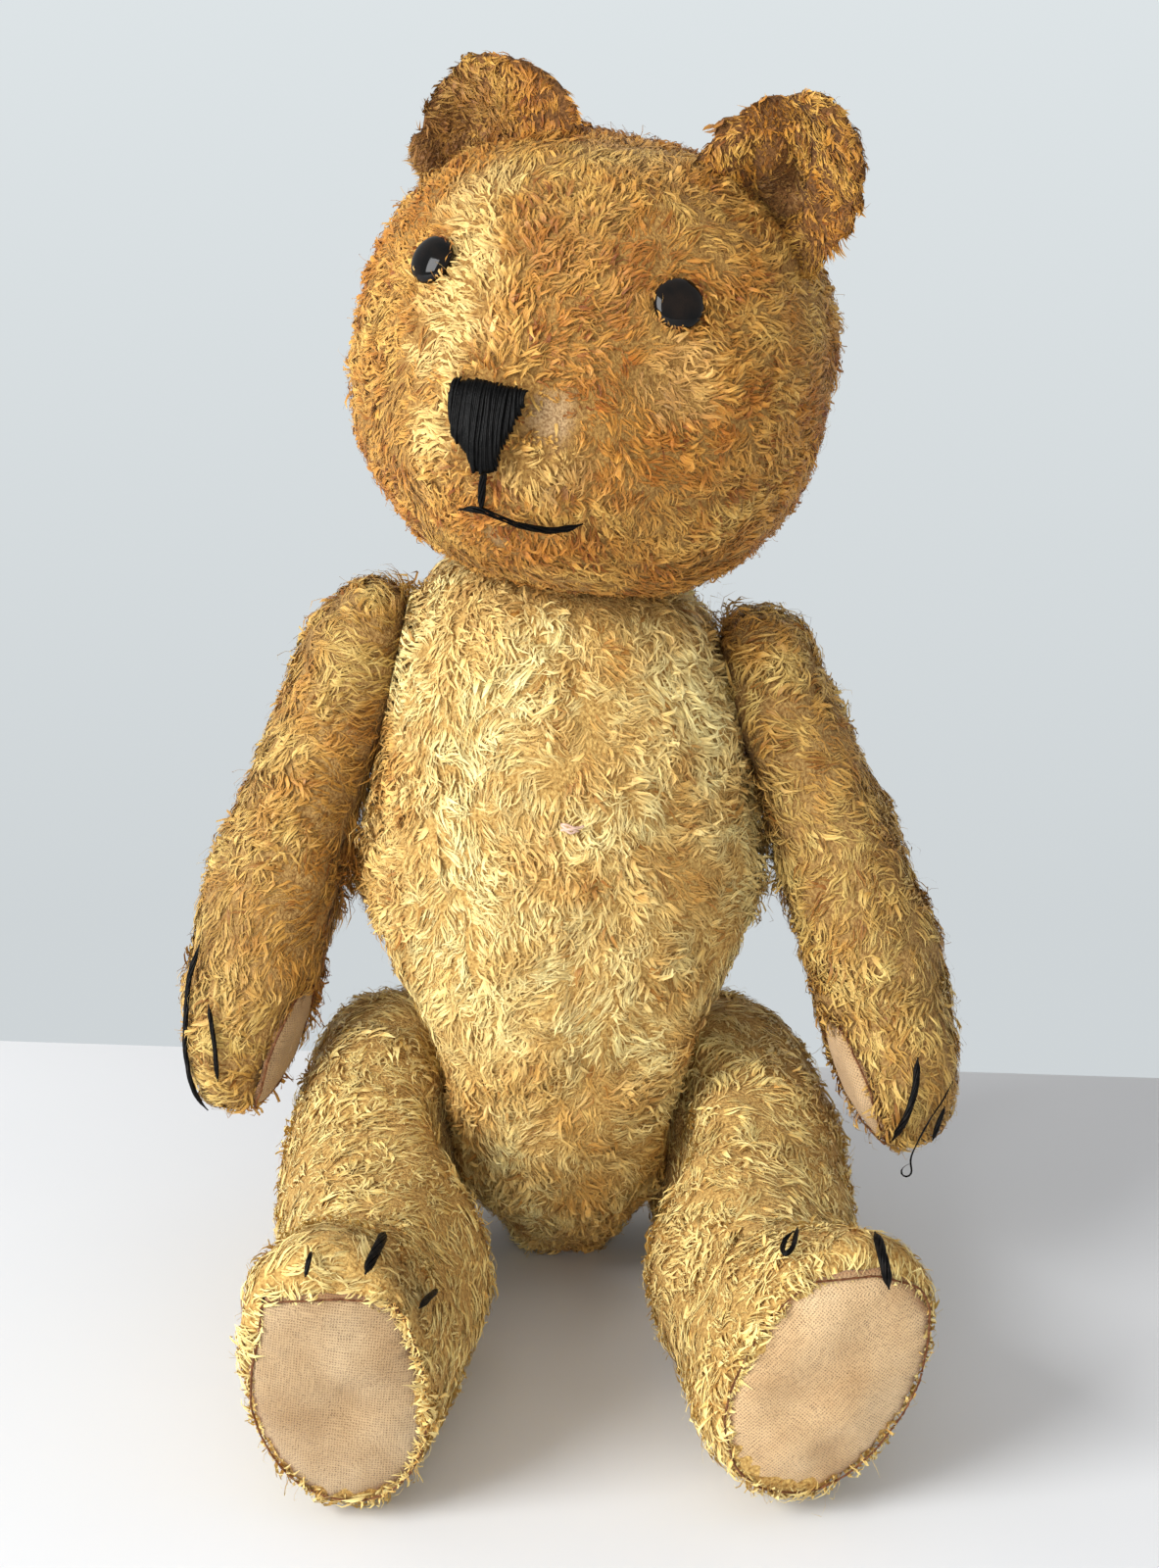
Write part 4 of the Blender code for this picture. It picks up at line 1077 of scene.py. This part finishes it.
class BearPile(bpy.types.PropertyGroup):
    """How the pile stands."""
    length: bpy.props.FloatProperty(
        name="Length", description="Length of a tuft on the torso",
        default=0.0074, min=0.003, max=0.02, unit="LENGTH")
    width: bpy.props.FloatProperty(
        name="Width", description="Width of a tuft of matted fibres",
        default=0.00086, min=0.0002, max=0.003, unit="LENGTH")
    lift: bpy.props.FloatProperty(
        name="Lift", description="How far a tuft rises over the cloth",
        default=0.0030, min=0.0, max=0.01, unit="LENGTH")
    density: bpy.props.FloatProperty(
        name="Density", description="Share of the full number of tufts",
        default=1.0, min=0.05, max=1.5, subtype="FACTOR")


class BearColours(bpy.types.PropertyGroup):
    """The colours of the pile."""
    light: bpy.props.FloatVectorProperty(
        name="Tips", description="Colour of the tips of the pile",
        default=(1.0, 0.90, 0.46), size=3, subtype="COLOR")
    mid: bpy.props.FloatVectorProperty(
        name="Pile", description="Colour half way down the pile",
        default=(0.98, 0.80, 0.31), size=3, subtype="COLOR")
    deep: bpy.props.FloatVectorProperty(
        name="Roots", description="Colour at the roots of the pile",
        default=(0.64, 0.39, 0.10), size=3, subtype="COLOR")


class BearStuffing(bpy.types.PropertyGroup):
    """How full the cloth is."""
    swell: bpy.props.FloatProperty(
        name="Swell", description="The most that the stuffing pushes the cloth out",
        default=SWELL, min=0.0, max=0.01, unit="LENGTH")
    fill: bpy.props.FloatProperty(
        name="Fill", description="How tightly the bodies are stuffed",
        default=0.9, min=0.0, max=1.0, subtype="FACTOR")


GROUPS = {"bear_pile": BearPile, "bear_colours": BearColours, "bear_stuffing": BearStuffing}


def sliders(context):
    """The three groups of values that a user may change."""
    return [getattr(context.scene, name) for name in GROUPS]


# ---------------- the operators

# each body's nodes under its cloth, the middle line's inset, and the cloth's steps round, along and per cap
BODIES = {
    "torso": (("torso_skin",), 0.060, 64, 26, 12),
    "head": (("head_skin",), 0.058, 56, 12, 14),
    "left_arm": (("left_arm_skin", "left_paw_pad"), 0.026, 32, 24, 7),
    "right_arm": (("right_arm_skin", "right_paw_pad"), 0.026, 32, 24, 7),
    "left_leg": (("left_leg_skin", "left_sole_pad"), 0.034, 40, 26, 9),
    "right_leg": (("right_leg_skin", "right_sole_pad"), 0.034, 40, 26, 9),
}
# each pad's body, seed, turn of its weave, and the stretch of its edge, in degrees from its right round
# through its top, where the pile is ragged
PADS = {
    "left_paw_pad": ("left_arm", 3, 0.2, (60, 300)),
    "right_paw_pad": ("right_arm", 4, 0.1, (-120, 120)),
    "left_sole_pad": ("left_leg", 5, 0.7, (95, 250)),
    "right_sole_pad": ("right_leg", 6, 0.1, (-70, 60)),
}
ALL_ROUND = (0, 360)
# the dark and pale colour of the cloth under each kind of pile, darkened to paint the shade in the gaps
# between the tufts
BACKINGS = {
    "torso": ((0.26, 0.13, 0.03), (0.66, 0.43, 0.14)),
    "leg": ((0.26, 0.13, 0.03), (0.66, 0.43, 0.14)),
    "head": ((0.17, 0.075, 0.018), (0.44, 0.25, 0.07)),
    "arm": ((0.17, 0.08, 0.022), (0.44, 0.27, 0.09)),
    "ear": ((0.05, 0.02, 0.006), (0.20, 0.09, 0.028)),
}
# the shares of the user's three colours in each kind of pile, from tip to root, and how strongly its grime
# and painted shade show; the head, arms and ears are darker and the legs lighter than the torso, partly as
# painted shade and painted light
PILES = {
    "torso": ((1.0, 1.0, 1.0), (1.0, 1.0, 1.0), (1.0, 1.0, 1.0), 0.85),
    "head": ((0.84, 0.63, 0.355), (0.70, 0.48, 0.25), (0.60, 0.41, 0.26), 1.0),
    "arm": ((0.79, 0.67, 0.46), (0.67, 0.55, 0.37), (0.60, 0.47, 0.33), 0.85),
    "leg": ((1.0, 0.955, 0.87), (1.02, 0.98, 0.85), (1.55, 1.30, 1.00), 0.15),
    "ear": ((0.82, 0.56, 0.24), (0.44, 0.25, 0.08), (0.24, 0.12, 0.05), 1.0),
}
# how many tufts each body has
TUFTS = {"torso": 46400, "head": 45400, "left_arm": 12500, "right_arm": 12500,
         "left_leg": 16000, "right_leg": 16000}
EAR_TUFTS = 5000


class BEAR_OT_cloths(bpy.types.Operator):
    """Makes the stuffed cloth of the torso, head, arms, legs and ears."""
    bl_idname = "bear.cloths"
    bl_label = "Stuffed cloth"

    def execute(self, context):
        _, _, stuffing = sliders(context)
        pieces = {}
        for body, (nodes, *shape) in BODIES.items():
            made = wrapped(body + "_cloth", nodes, *shape)
            bed_in(made, body, BEDDED)
            pieces[made] = body
        for side in SIDES:
            made = remeshed(side + "_ear_cloth", side + "_ear", 0.0026)
            bed_in(made, "head", EAR_BEDDED)
            fold_ear(made, EAR_FORM[side], EAR_WIDTH[side])
            set_in_head(made)
            pieces[made] = "head"
        inflate(pieces, stuffing.swell)
        backings = {kind: backing_finish(kind + "_backing", *tones) for kind, tones in BACKINGS.items()}
        for made, body in pieces.items():
            kind = made.name.split("_")[-2]
            subdivide(made)
            store(made, "worn", "FLOAT", spots(BALD, body, places(made.data)))
            if kind == "ear":
                hand_in(made, backings[kind], body, "ear_plush", made.name.replace("_cloth", ""))
            else:
                hand_in(made, backings[kind], body, "gold_plush", body + "_skin", body + "_stuffing")
        return {"FINISHED"}


# lobes and hollows of the ears in millimetres, as a middle, a radius and a push forward, and the ears'
# width as a share of the solids'
EAR_FORM = {
    "left": [((60, -24, 386), 12, 5), ((69, -25, 370), 7.5, -7.5), ((80, -36, 374), 9, 3.5),
             ((76, -39, 396), 8, 2.5)],
    "right": [((-30, 11, 386), 13, -5), ((-40, 11, 392), 7, 2), ((-15, 6, 398), 9, 4)],
}
EAR_WIDTH = {"left": 1.0, "right": 1.12}


def fold_ear(ear, form, width):
    """Folds an ear: each listed place is pushed forward by push * exp(-(distance / radius)^2)."""
    points = places(ear.data)
    centre = points.mean(0)
    moved = points.copy()
    moved[:, 0] = centre[0] + (points[:, 0] - centre[0]) * width
    for place, radius, push in form:
        away = np.linalg.norm(points - mm(place), axis=1)
        moved[:, 1] -= mm(push) * np.exp(-(away / mm(radius)) ** 2)
    move_to(ear.data, moved)


def set_in_head(ear, deepest=0.011, near=0.002, far=0.014):
    """Draws the foot of an ear into the head: by `deepest` where it is near, and not at all far off."""
    points = places(ear.data)
    head = corners("head_skin").reshape(-1, 3)
    away = np.linalg.norm(points - head[nearest(points, head)], axis=1)
    inward = unit(middle("head_skin") - points)
    move_to(ear.data, points + inward * (deepest * (1 - fade(away, near, far)))[:, None])


def away_from(point):
    """A nap that runs away from a point."""
    return lambda spot: unit(spot - point)


def from_seam(spot, seam=0.004):
    """The nap of the torso: down, and away from the seam of the belly by tanh(distance / 1 cm) / 2."""
    aside = 0.5 * np.tanh((spot[:, 0] - seam) / 0.01)
    return np.stack([aside, np.zeros(len(spot)), np.full(len(spot), -1.0)], -1)


class BEAR_OT_pile(bpy.types.Operator):
    """Grows the matted pile on every cloth body."""
    bl_idname = "bear.pile"
    bl_label = "Pile"

    def execute(self, context):
        pile, colours, _ = sliders(context)
        chosen = [tuple(colour) for colour in (colours.light, colours.mid, colours.deep)]
        shades = {}
        for kind, (*shares, grime_and_shade) in PILES.items():
            tones = [scaled(colour, *share) for colour, share in zip(chosen, shares)]
            shades[kind] = pile_finish(kind + "_pile", *tones, grime_and_shade)
        base = {
            "per_lock": 12, "loose": 0.25, "thin": 0.10, "stray": 0.35, "spread": (0.6, 0.16),
            "calm_size": 0.045, "swirl": 0.75, "wave": 0.55, "overlap": 0.9, "curl": (0.3, 1.8),
            "length": pile.length, "lift": pile.lift, "width": pile.width,
            "slot": "gold_plush", "bare": (),
        }
        plans = {"torso": {"nap": from_seam}}
        nose = middle("nose_stitching")
        plans["head"] = {
            "nap": lambda spot: unit(spot - nose) + np.array((0.0, 0.4, -0.5)), "swirl": 0.55,
            "curl": (0.1, 1.0), "length": pile.length * 0.78, "lift": pile.lift * 0.9,
            "width": pile.width * 0.92,
            "bare": [(patch(node, "head_skin"), lap) for node, lap in
                     (("left_eye", 0.0012), ("right_eye", 0.0012), ("nose_stitching", 0.0004))],
        }
        for pad, (limb, *_) in PADS.items():
            pivot = next(point for point, _, child, _ in PLANES if child == limb)
            plans[limb] = {"nap": away_from(pivot),
                           "bare": [(outlined(patch(pad, limb + "_skin"), pad), 0.0020)]}
        for number, (body, count) in enumerate(TUFTS.items()):
            plan = dict(base, **plans[body], finish=shades[body.split("_")[-1]], seed=40 + number)
            halves = (("_front", -1, 0.6), ("_back", 1, 0.4)) if body in ("torso", "head") else (("", 0, 1),)
            for label, facing, part in halves:
                plan["weight"] = lambda spot, out, body=body, facing=facing, plan=plan: (
                    cover(body, spot, out, plan["bare"]) * (spot[:, 1] * facing >= 0))
                grow(body + "_pile" + label, bpy.data.objects[body + "_cloth"], body, plan,
                     int(count * part * pile.density), 60 + number)
        plan = dict(base, finish=shades["ear"], seed=80, slot="ear_plush", curl=(0.1, 0.9),
                    length=pile.length * 0.60, lift=pile.lift * 0.5, width=pile.width * 0.9,
                    nap=lambda spot: np.array((0.1, -0.2, -1.0)), weight=lambda spot, out: 1.0)
        for side in SIDES:
            grow(side + "_ear_pile", bpy.data.objects[side + "_ear_cloth"], "head", plan,
                 int(EAR_TUFTS * pile.density), 90)
        return {"FINISHED"}


def furrow(body, spot):
    """The dirt and painted shade along a body's seams and creases, darker the deeper they are: exp(-(distance
    / 0.6 half widths)^2), broken by waves.
    """
    share = np.zeros(len(spot))
    for start, end, depth, half in grooves(body):
        dirt_and_shade = np.exp(-(along_segment(spot, start, end) / (0.6 * half)) ** 2)
        share = np.maximum(share, dirt_and_shade * min(1.0, 0.4 + 120 * depth))
    return share * (0.7 + 0.3 * waves(spot, 0.015, 9))


def stain_shade_and_highlight(body, spot):
    """How soiled or darkened by painted shade each place is, from 0 to 1, or how far painted highlight pales
    it, from 0 to -1.
    """
    soil = np.maximum(spots(STAINS_AND_SHADE, body, spot), furrow(body, spot))
    return np.where(soil > 0.05, soil, -spots(PALE_HIGHLIGHTS, body, spot, 1.2))


def cover(body, spot, out, bare):
    """How densely pile grows at places on a body.

    It is 0.4 where a joint squeezes it, 0.05 where it is bald, and 0 on the ground and under pads,
    eyes and nose.
    """
    share = (1 - 0.6 * touching(body, spot, out)) * fade(spot[:, 2], 0.0008, 0.004)
    for lie, _ in bare:
        share = share * fade(past_rim(lie, spot), -0.0015, 0.0005)
    return share * (1 - 0.95 * spots(BALD, body, spot))


def rim_pile(name, body, rims, seed):
    """Short tufts rooted round eyes, nose or pads, which lean over their edges.

    `rims` gives each patch with its count of tufts, how far outside the edge and how deep they are
    rooted, their length and lift, and the stretch of the edge in degrees.
    """
    rng = np.random.default_rng(seed)
    parts = []
    for lie, count, beyond, depth, length, lift, (first, last) in rims:
        turn = np.radians(rng.uniform(first, last, count)) % TURN
        ring = np.cos(turn)[:, None] * lie["right"] + np.sin(turn)[:, None] * lie["up"]
        radius = edge_at(lie, turn) + rng.uniform(0, beyond, count)
        way = unit(np.cross(lie["out"], ring) * rng.normal(size=(count, 1)) * 1.2 - ring)
        parts.append((lie["mid"] + ring * radius[:, None] - depth * lie["out"],
                      np.broadcast_to(lie["out"], ring.shape), way,
                      length * rng.uniform(0.5, 1.2, count), lift * rng.uniform(0.6, 1.2, count)))
    root, out, way, length, lift = (np.concatenate(group) for group in zip(*parts))
    count = len(root)
    facts = {
        "length": length, "lift": lift, "sink": np.zeros(count), "pull": np.zeros((count, 3)),
        "curl": rng.normal(size=count) * 0.8, "wave": np.full(count, 0.3),
        "phase": rng.uniform(0, TURN, count), "roll": rng.normal(size=count) * 0.4,
        "width": 0.0006 * np.exp(rng.normal(size=count) * 0.4), "tone": rng.uniform(size=count) * 0.7,
        "soil": np.zeros(count),
    }
    made = tuft_mesh(name, root, out, way, facts, body)
    hand_in(made, bpy.data.materials[body.split("_")[-1] + "_pile"], body, "gold_plush")


class BEAR_OT_rims(bpy.types.Operator):
    """Lays short pile over the edges of the eyes, nose and pads, and sews the seam round each pad."""
    bl_idname = "bear.rims"
    bl_label = "Pile over edges"

    def execute(self, context):
        eyes = [(patch(side + "_eye", "head_skin"), 50, 0.0024, 0.0006, 0.0034, 0.0012, ALL_ROUND)
                for side in SIDES]
        nose = (patch("nose_stitching", "head_skin"), 60, 0.0010, 0.0010, 0.0030, 0.0020, ALL_ROUND)
        rim_pile("face_rim_pile", "head", [*eyes, nose], 31)
        cord = thread_finish("seam_thread", (0.10, 0.035, 0.014), (0.30, 0.13, 0.055))
        for pad, (body, seed, _, ragged) in PADS.items():
            lie = outlined(patch(pad, body + "_skin"), pad)
            rim_pile(pad + "_rim_pile", body, [(lie, 200, 0.0024, 0.0004, 0.0036, 0.0012, ragged),
                                               (lie, 110, 0.0024, 0.0010, 0.0022, 0.0008, ALL_ROUND)], seed)
            turn = np.linspace(0.01, TURN - 0.01, 160)[None]
            radius = edge_at(lie, turn) + 0.0012
            flat_x, flat_y = radius * np.cos(turn), radius * np.sin(turn)
            height = front_of(pad, lie, flat_x * 0.9, flat_y * 0.9)
            height = np.where(np.isnan(height), np.nanmean(height), height) - 0.0010
            thick = 0.00034 + 0.0001 * np.cos(turn * 60)
            seam = tubes(pad + "_seam", on_patch(lie, flat_x, flat_y, height), thick, lie["out"])
            hand_in(seam, cord, body, "pad_cloth")
        return {"FINISHED"}


class BEAR_OT_pads(bpy.types.Operator):
    """Makes the four woven pads of the paws and soles."""
    bl_idname = "bear.pads"
    bl_label = "Pads"

    def execute(self, context):
        # The pads are one cloth: the left pads are lighter and the right ones darker, partly dirt and partly
        # painted light and shade
        weaves = {side: weave_finish("pad_cloth_" + side, shade)
                  for side, shade in (("left", 1.14), ("right", 0.83))}
        for node, (body, seed, turned, _) in PADS.items():
            made = pad_cloth(node, body + "_skin", seed, turned)
            hand_in(made, weaves[node.split("_")[0]], body, "pad_cloth", node)
        return {"FINISHED"}


class BEAR_OT_face(bpy.types.Operator):
    """Makes the eyes, the satin-stitched nose and the mouth stitches."""
    bl_idname = "bear.face"
    bl_label = "Face"

    def execute(self, context):
        glass = glass_finish()
        floss = thread_finish("nose_floss", (0.0008, 0.0008, 0.0008), (0.004, 0.0035, 0.003))
        for number, side in enumerate(SIDES):
            eye(side + "_eye", glass, number)
        nose(floss)
        sewn("mouth_thread", ["mouth_stitch"], "head", [(5, 0.72, MOUTH)], 0.0002, floss, 0.5)
        sewn("lip_thread", ["lip_stitch"], "head", [(6, 0.8, LIP)], 0.0003, floss)
        return {"FINISHED"}


# an eye's width, height and depth as shares of its solid's
EYE_SIZE = {"right": 1.10, "up": 1.12, "out": 0.82}


def eye(node, material, seed):
    """A domed eye: an ellipsoid round the node's middle, slightly uneven and sunk by 1.2 mm.

    A point is the middle + a cos(t) cos(p) right + b cos(t) sin(p) up + c sin(t) outward.
    """
    lie = patch(node, "head_skin")
    cloud = corners(node).reshape(-1, 3) - lie["mid"]
    half = [np.abs(cloud @ lie[axis]).max() * size for axis, size in EYE_SIZE.items()]
    sunk = lie["mid"] - 0.0012 * lie["out"]
    rise = np.linspace(-math.pi / 2, math.pi / 2, 26)[1:-1, None, None]
    turn = np.linspace(0, TURN, 48, endpoint=False)[:, None]
    ways = (np.cos(rise) * np.cos(turn) * lie["right"] * half[0]
            + np.cos(rise) * np.sin(turn) * lie["up"] * half[1]
            + np.sin(rise) * lie["out"] * half[2])
    dent = 1 + 0.012 * waves(ways.reshape(-1, 3), 0.012, seed).reshape(ways.shape[:2])
    deep = half[2] * lie["out"]
    made = closed_grid(node + "_dome", sunk + ways * dent[..., None], sunk - deep, sunk + deep)
    hand_in(made, material, "head", "eye_black", node)


# the nose's upper and lower edges, as shares of its half width and half height
NOSE_TOP = ((-1.0, 0.68), (-0.9, 0.74), (0.0, 0.72), (1.0, 0.58))
NOSE_FOOT = ((-1.0, 0.15), (-0.81, -0.33), (-0.45, -0.67), (-0.24, -0.94), (0.2, -0.96), (0.32, -0.87),
             (0.48, -0.53), (0.70, 0.0), (1.0, 0.48))


def nose(material, count=46):
    """Satin stitches side by side: each runs up one chord of the nose's outline, arched over its dome.

    Their ends stray by about 0.4 mm. The arch is the solid's outside + 0.4 mm * sin(pi s) - 1.2 mm *
    (1 - sin(pi s))^6, at a share s of the chord, and each stitch stands about 0.18 mm off its neighbours.
    """
    lie = patch("nose_stitching", "head_skin")
    rng = np.random.default_rng(12)
    cloud = corners("nose_stitching").reshape(-1, 3) - lie["mid"]
    wide, tall = np.abs(cloud @ lie["right"]).max(), np.abs(cloud @ lie["up"]).max()
    share = np.linspace(-0.98, 0.90, count)
    strands = share[:, None] * wide
    high = tall * np.interp(share, *zip(*NOSE_TOP)) + rng.normal(size=count) * 0.0004
    low = tall * np.interp(share, *zip(*NOSE_FOOT)) + rng.normal(size=count) * 0.0004
    share = np.linspace(0, 1, 22)
    flat_y = low[:, None] + (high - low)[:, None] * share
    flat_x = strands + 0.0003 * np.sin(share * 3 + strands * 900)
    height = front_of("nose_stitching", lie, flat_x * 0.96, flat_y * 0.96)
    height = np.where(np.isnan(height), np.nanmin(height), height)
    height = height + 0.0004 * np.sin(math.pi * share) - 0.0012 * (1 - np.sin(math.pi * share)) ** 6
    height = height + rng.normal(size=(count, 1)) * 0.00018
    thick = np.full(flat_x.shape, 0.00048)
    made = tubes("nose_satin", on_patch(lie, flat_x, flat_y, height), thick, lie["out"], 8, 0.75)
    hand_in(made, material, "head", "black_thread", "nose_stitching")


class BEAR_OT_claws(bpy.types.Operator):
    """Makes the thread claws of the paws and feet."""
    bl_idname = "bear.claws"
    bl_label = "Claws"

    def execute(self, context):
        floss = thread_finish("claw_floss", (0.002, 0.002, 0.002), (0.016, 0.013, 0.011))
        for limb in LIMBS:
            side, kind = limb.split("_")
            stem = side + ("_paw_claw_" if kind == "arm" else "_foot_claw_")
            nodes = sorted(node for node in NODES if node.startswith(stem))
            sewn(limb + "_claws", nodes, limb, STITCHES[limb], 0.0004, floss)
        return {"FINISHED"}


class BEAR_OT_mend(bpy.types.Operator):
    """Makes the small pink mending stitch across the seam of the belly."""
    bl_idname = "bear.mend"
    bl_label = "Mending stitch"

    def execute(self, context):
        start, end = mm(MEND)
        strands, steps = 4, 14
        share = np.linspace(0, 1, steps)[:, None]
        out = np.array((0.0, -1.0, 0.0))
        paths = []
        for number in range(strands):
            line = start - UP * 0.0006 * number + (end - start) * share * (1 - 0.12 * number)
            line = line + 0.0011 * np.sin(math.pi * share) * out
            paths.append(line + UP * 0.0004 * np.sin(7 * share + 2 * number))
        made = tubes("belly_mend", np.array(paths), np.full((strands, steps), STRAND), out)
        pink = thread_finish("mending_thread", (0.55, 0.36, 0.26), (0.82, 0.62, 0.50))
        hand_in(made, pink, "torso", "pad_cloth")
        return {"FINISHED"}


class BEAR_OT_insides(bpy.types.Operator):
    """Gives the stuffing, the joint discs, washers and pins their materials."""
    bl_idname = "bear.insides"
    bl_label = "Insides"

    def execute(self, context):
        wool = speckled_finish("wood_wool", (0.40, 0.27, 0.13), (0.70, 0.54, 0.30), 260.0, 0.8, depth=0.0008)
        board = speckled_finish("hardboard", (0.16, 0.085, 0.04), (0.27, 0.16, 0.085), 900.0, 0.6)
        steel = speckled_finish("washer_steel", (0.22, 0.20, 0.18), (0.50, 0.48, 0.45), 300.0, 0.38,
                                1.0, 0.0001)
        for name, node in NODES.items():
            for word, material in (("stuffing", wool), ("disc", board), ("washer", steel), ("pin", steel)):
                if name.endswith(word):
                    dress(node, material)
        return {"FINISHED"}


# the corners of the table top, and each lamp's place, width and power in watts
TABLE = ((-3.0, -1.9, 0.0), (3.0, -1.9, 0.0), (3.0, -0.078, 0.0), (-3.0, 0.408, 0.0))
LAMPS = {
    "window": ((-1.52, -1.20, 1.05), 1.3, 65.0),
    "fill": ((0.25, -2.05, 0.25), 1.6, 20.0),
}
LAMP_TARGET = (0.0, 0.0, 0.15)
CAMERA = (0.006, -1.043, 0.519)
CAMERA_TARGET = (0.006, 0.0, 0.17)
LENS = 76.0  # millimetres


class BEAR_OT_stage(bpy.types.Operator):
    """Sets the white table top, the pale wall light, the soft lamps and the camera."""
    bl_idname = "bear.stage"
    bl_label = "Stage"

    def execute(self, context):
        scene = context.scene
        table = mesh_object("table_top", np.array(TABLE), np.array([[0, 1, 2, 3]]))
        white, tree, shader, spot = finish("white_table")
        cloudy = ramp(tree, noise(tree, spot, 3.0), (0.3, (0.69, 0.705, 0.72)), (0.7, (0.73, 0.745, 0.76)))
        set_shader(tree, shader, Base_Color=cloudy, Roughness=0.6)
        dress(table, white)
        scene.view_settings.view_transform = "Standard"
        scene.world = bpy.data.worlds.new("pale_wall")
        scene.world.use_nodes = True
        tree = scene.world.node_tree
        light = tree.nodes["Background"]
        rise = add(tree, "SeparateXYZ", {0: add(tree, "TexCoord").outputs["Generated"]})
        # The wall that the camera sees darkens lower down, toward the table: painted shade on the backdrop;
        # other rays see plain grey
        wall = ramp(tree, maths(tree, "ADD", rise.outputs[2], 0.5), (0.15, (0.62, 0.66, 0.68)),
                    (0.45, (0.74, 0.79, 0.81)))
        seen = add(tree, "LightPath").outputs["Is Camera Ray"]
        tree.links.new(mixed(tree, seen, (0.575, 0.575, 0.58), wall), light.inputs["Color"])
        for name, (place, size, power) in LAMPS.items():
            lamp = bpy.data.lights.new(name, "AREA")
            lamp.size, lamp.energy = size, power
            holder = bpy.data.objects.new(name, lamp)
            holder.visible_glossy = name == "window"
            holder.location = place
            aim(holder, LAMP_TARGET)
            scene.collection.objects.link(holder)
        camera = bpy.data.objects.new("camera", bpy.data.cameras.new("camera"))
        camera.data.lens, camera.data.sensor_width = LENS, 36.0
        camera.location = CAMERA
        aim(camera, CAMERA_TARGET)
        scene.collection.objects.link(camera)
        scene.camera = camera
        return {"FINISHED"}


def aim(holder, target):
    """Turns a lamp or camera to look at a point, level."""
    way = target - np.array(holder.location)
    run = math.hypot(way[0], way[1])
    holder.rotation_euler = (math.pi / 2 + math.atan2(way[2], run), 0.0, math.atan2(-way[0], way[1]))


class BEAR_PT_panel(bpy.types.Panel):
    """Lists the bear's steps in the sidebar."""
    bl_idname = "BEAR_PT_panel"
    bl_label = "Bear"
    bl_space_type = "VIEW_3D"
    bl_region_type = "UI"
    bl_category = "Bear"

    def draw(self, context):
        for group in sliders(context):
            for name in group.__annotations__:
                self.layout.prop(group, name)
        for step in STEPS:
            self.layout.operator(step.bl_idname)


STEPS = (BEAR_OT_stage, BEAR_OT_cloths, BEAR_OT_pile, BEAR_OT_pads, BEAR_OT_rims, BEAR_OT_face,
         BEAR_OT_claws, BEAR_OT_mend, BEAR_OT_insides)


def register():
    """Registers the groups, operators and panel."""
    for item in (*GROUPS.values(), *STEPS, BEAR_PT_panel):
        bpy.utils.register_class(item)
    for name, group in GROUPS.items():
        setattr(bpy.types.Scene, name, bpy.props.PointerProperty(type=group))


def unregister():
    """Takes them away again."""
    for name in GROUPS:
        delattr(bpy.types.Scene, name)
    for item in (BEAR_PT_panel, *STEPS[::-1], *reversed(GROUPS.values())):
        bpy.utils.unregister_class(item)


def main():
    """Makes every piece in order."""
    register()
    for step in STEPS:
        group, name = step.bl_idname.split(".")
        getattr(getattr(bpy.ops, group), name)()


if __name__ == "__main__":
    main()
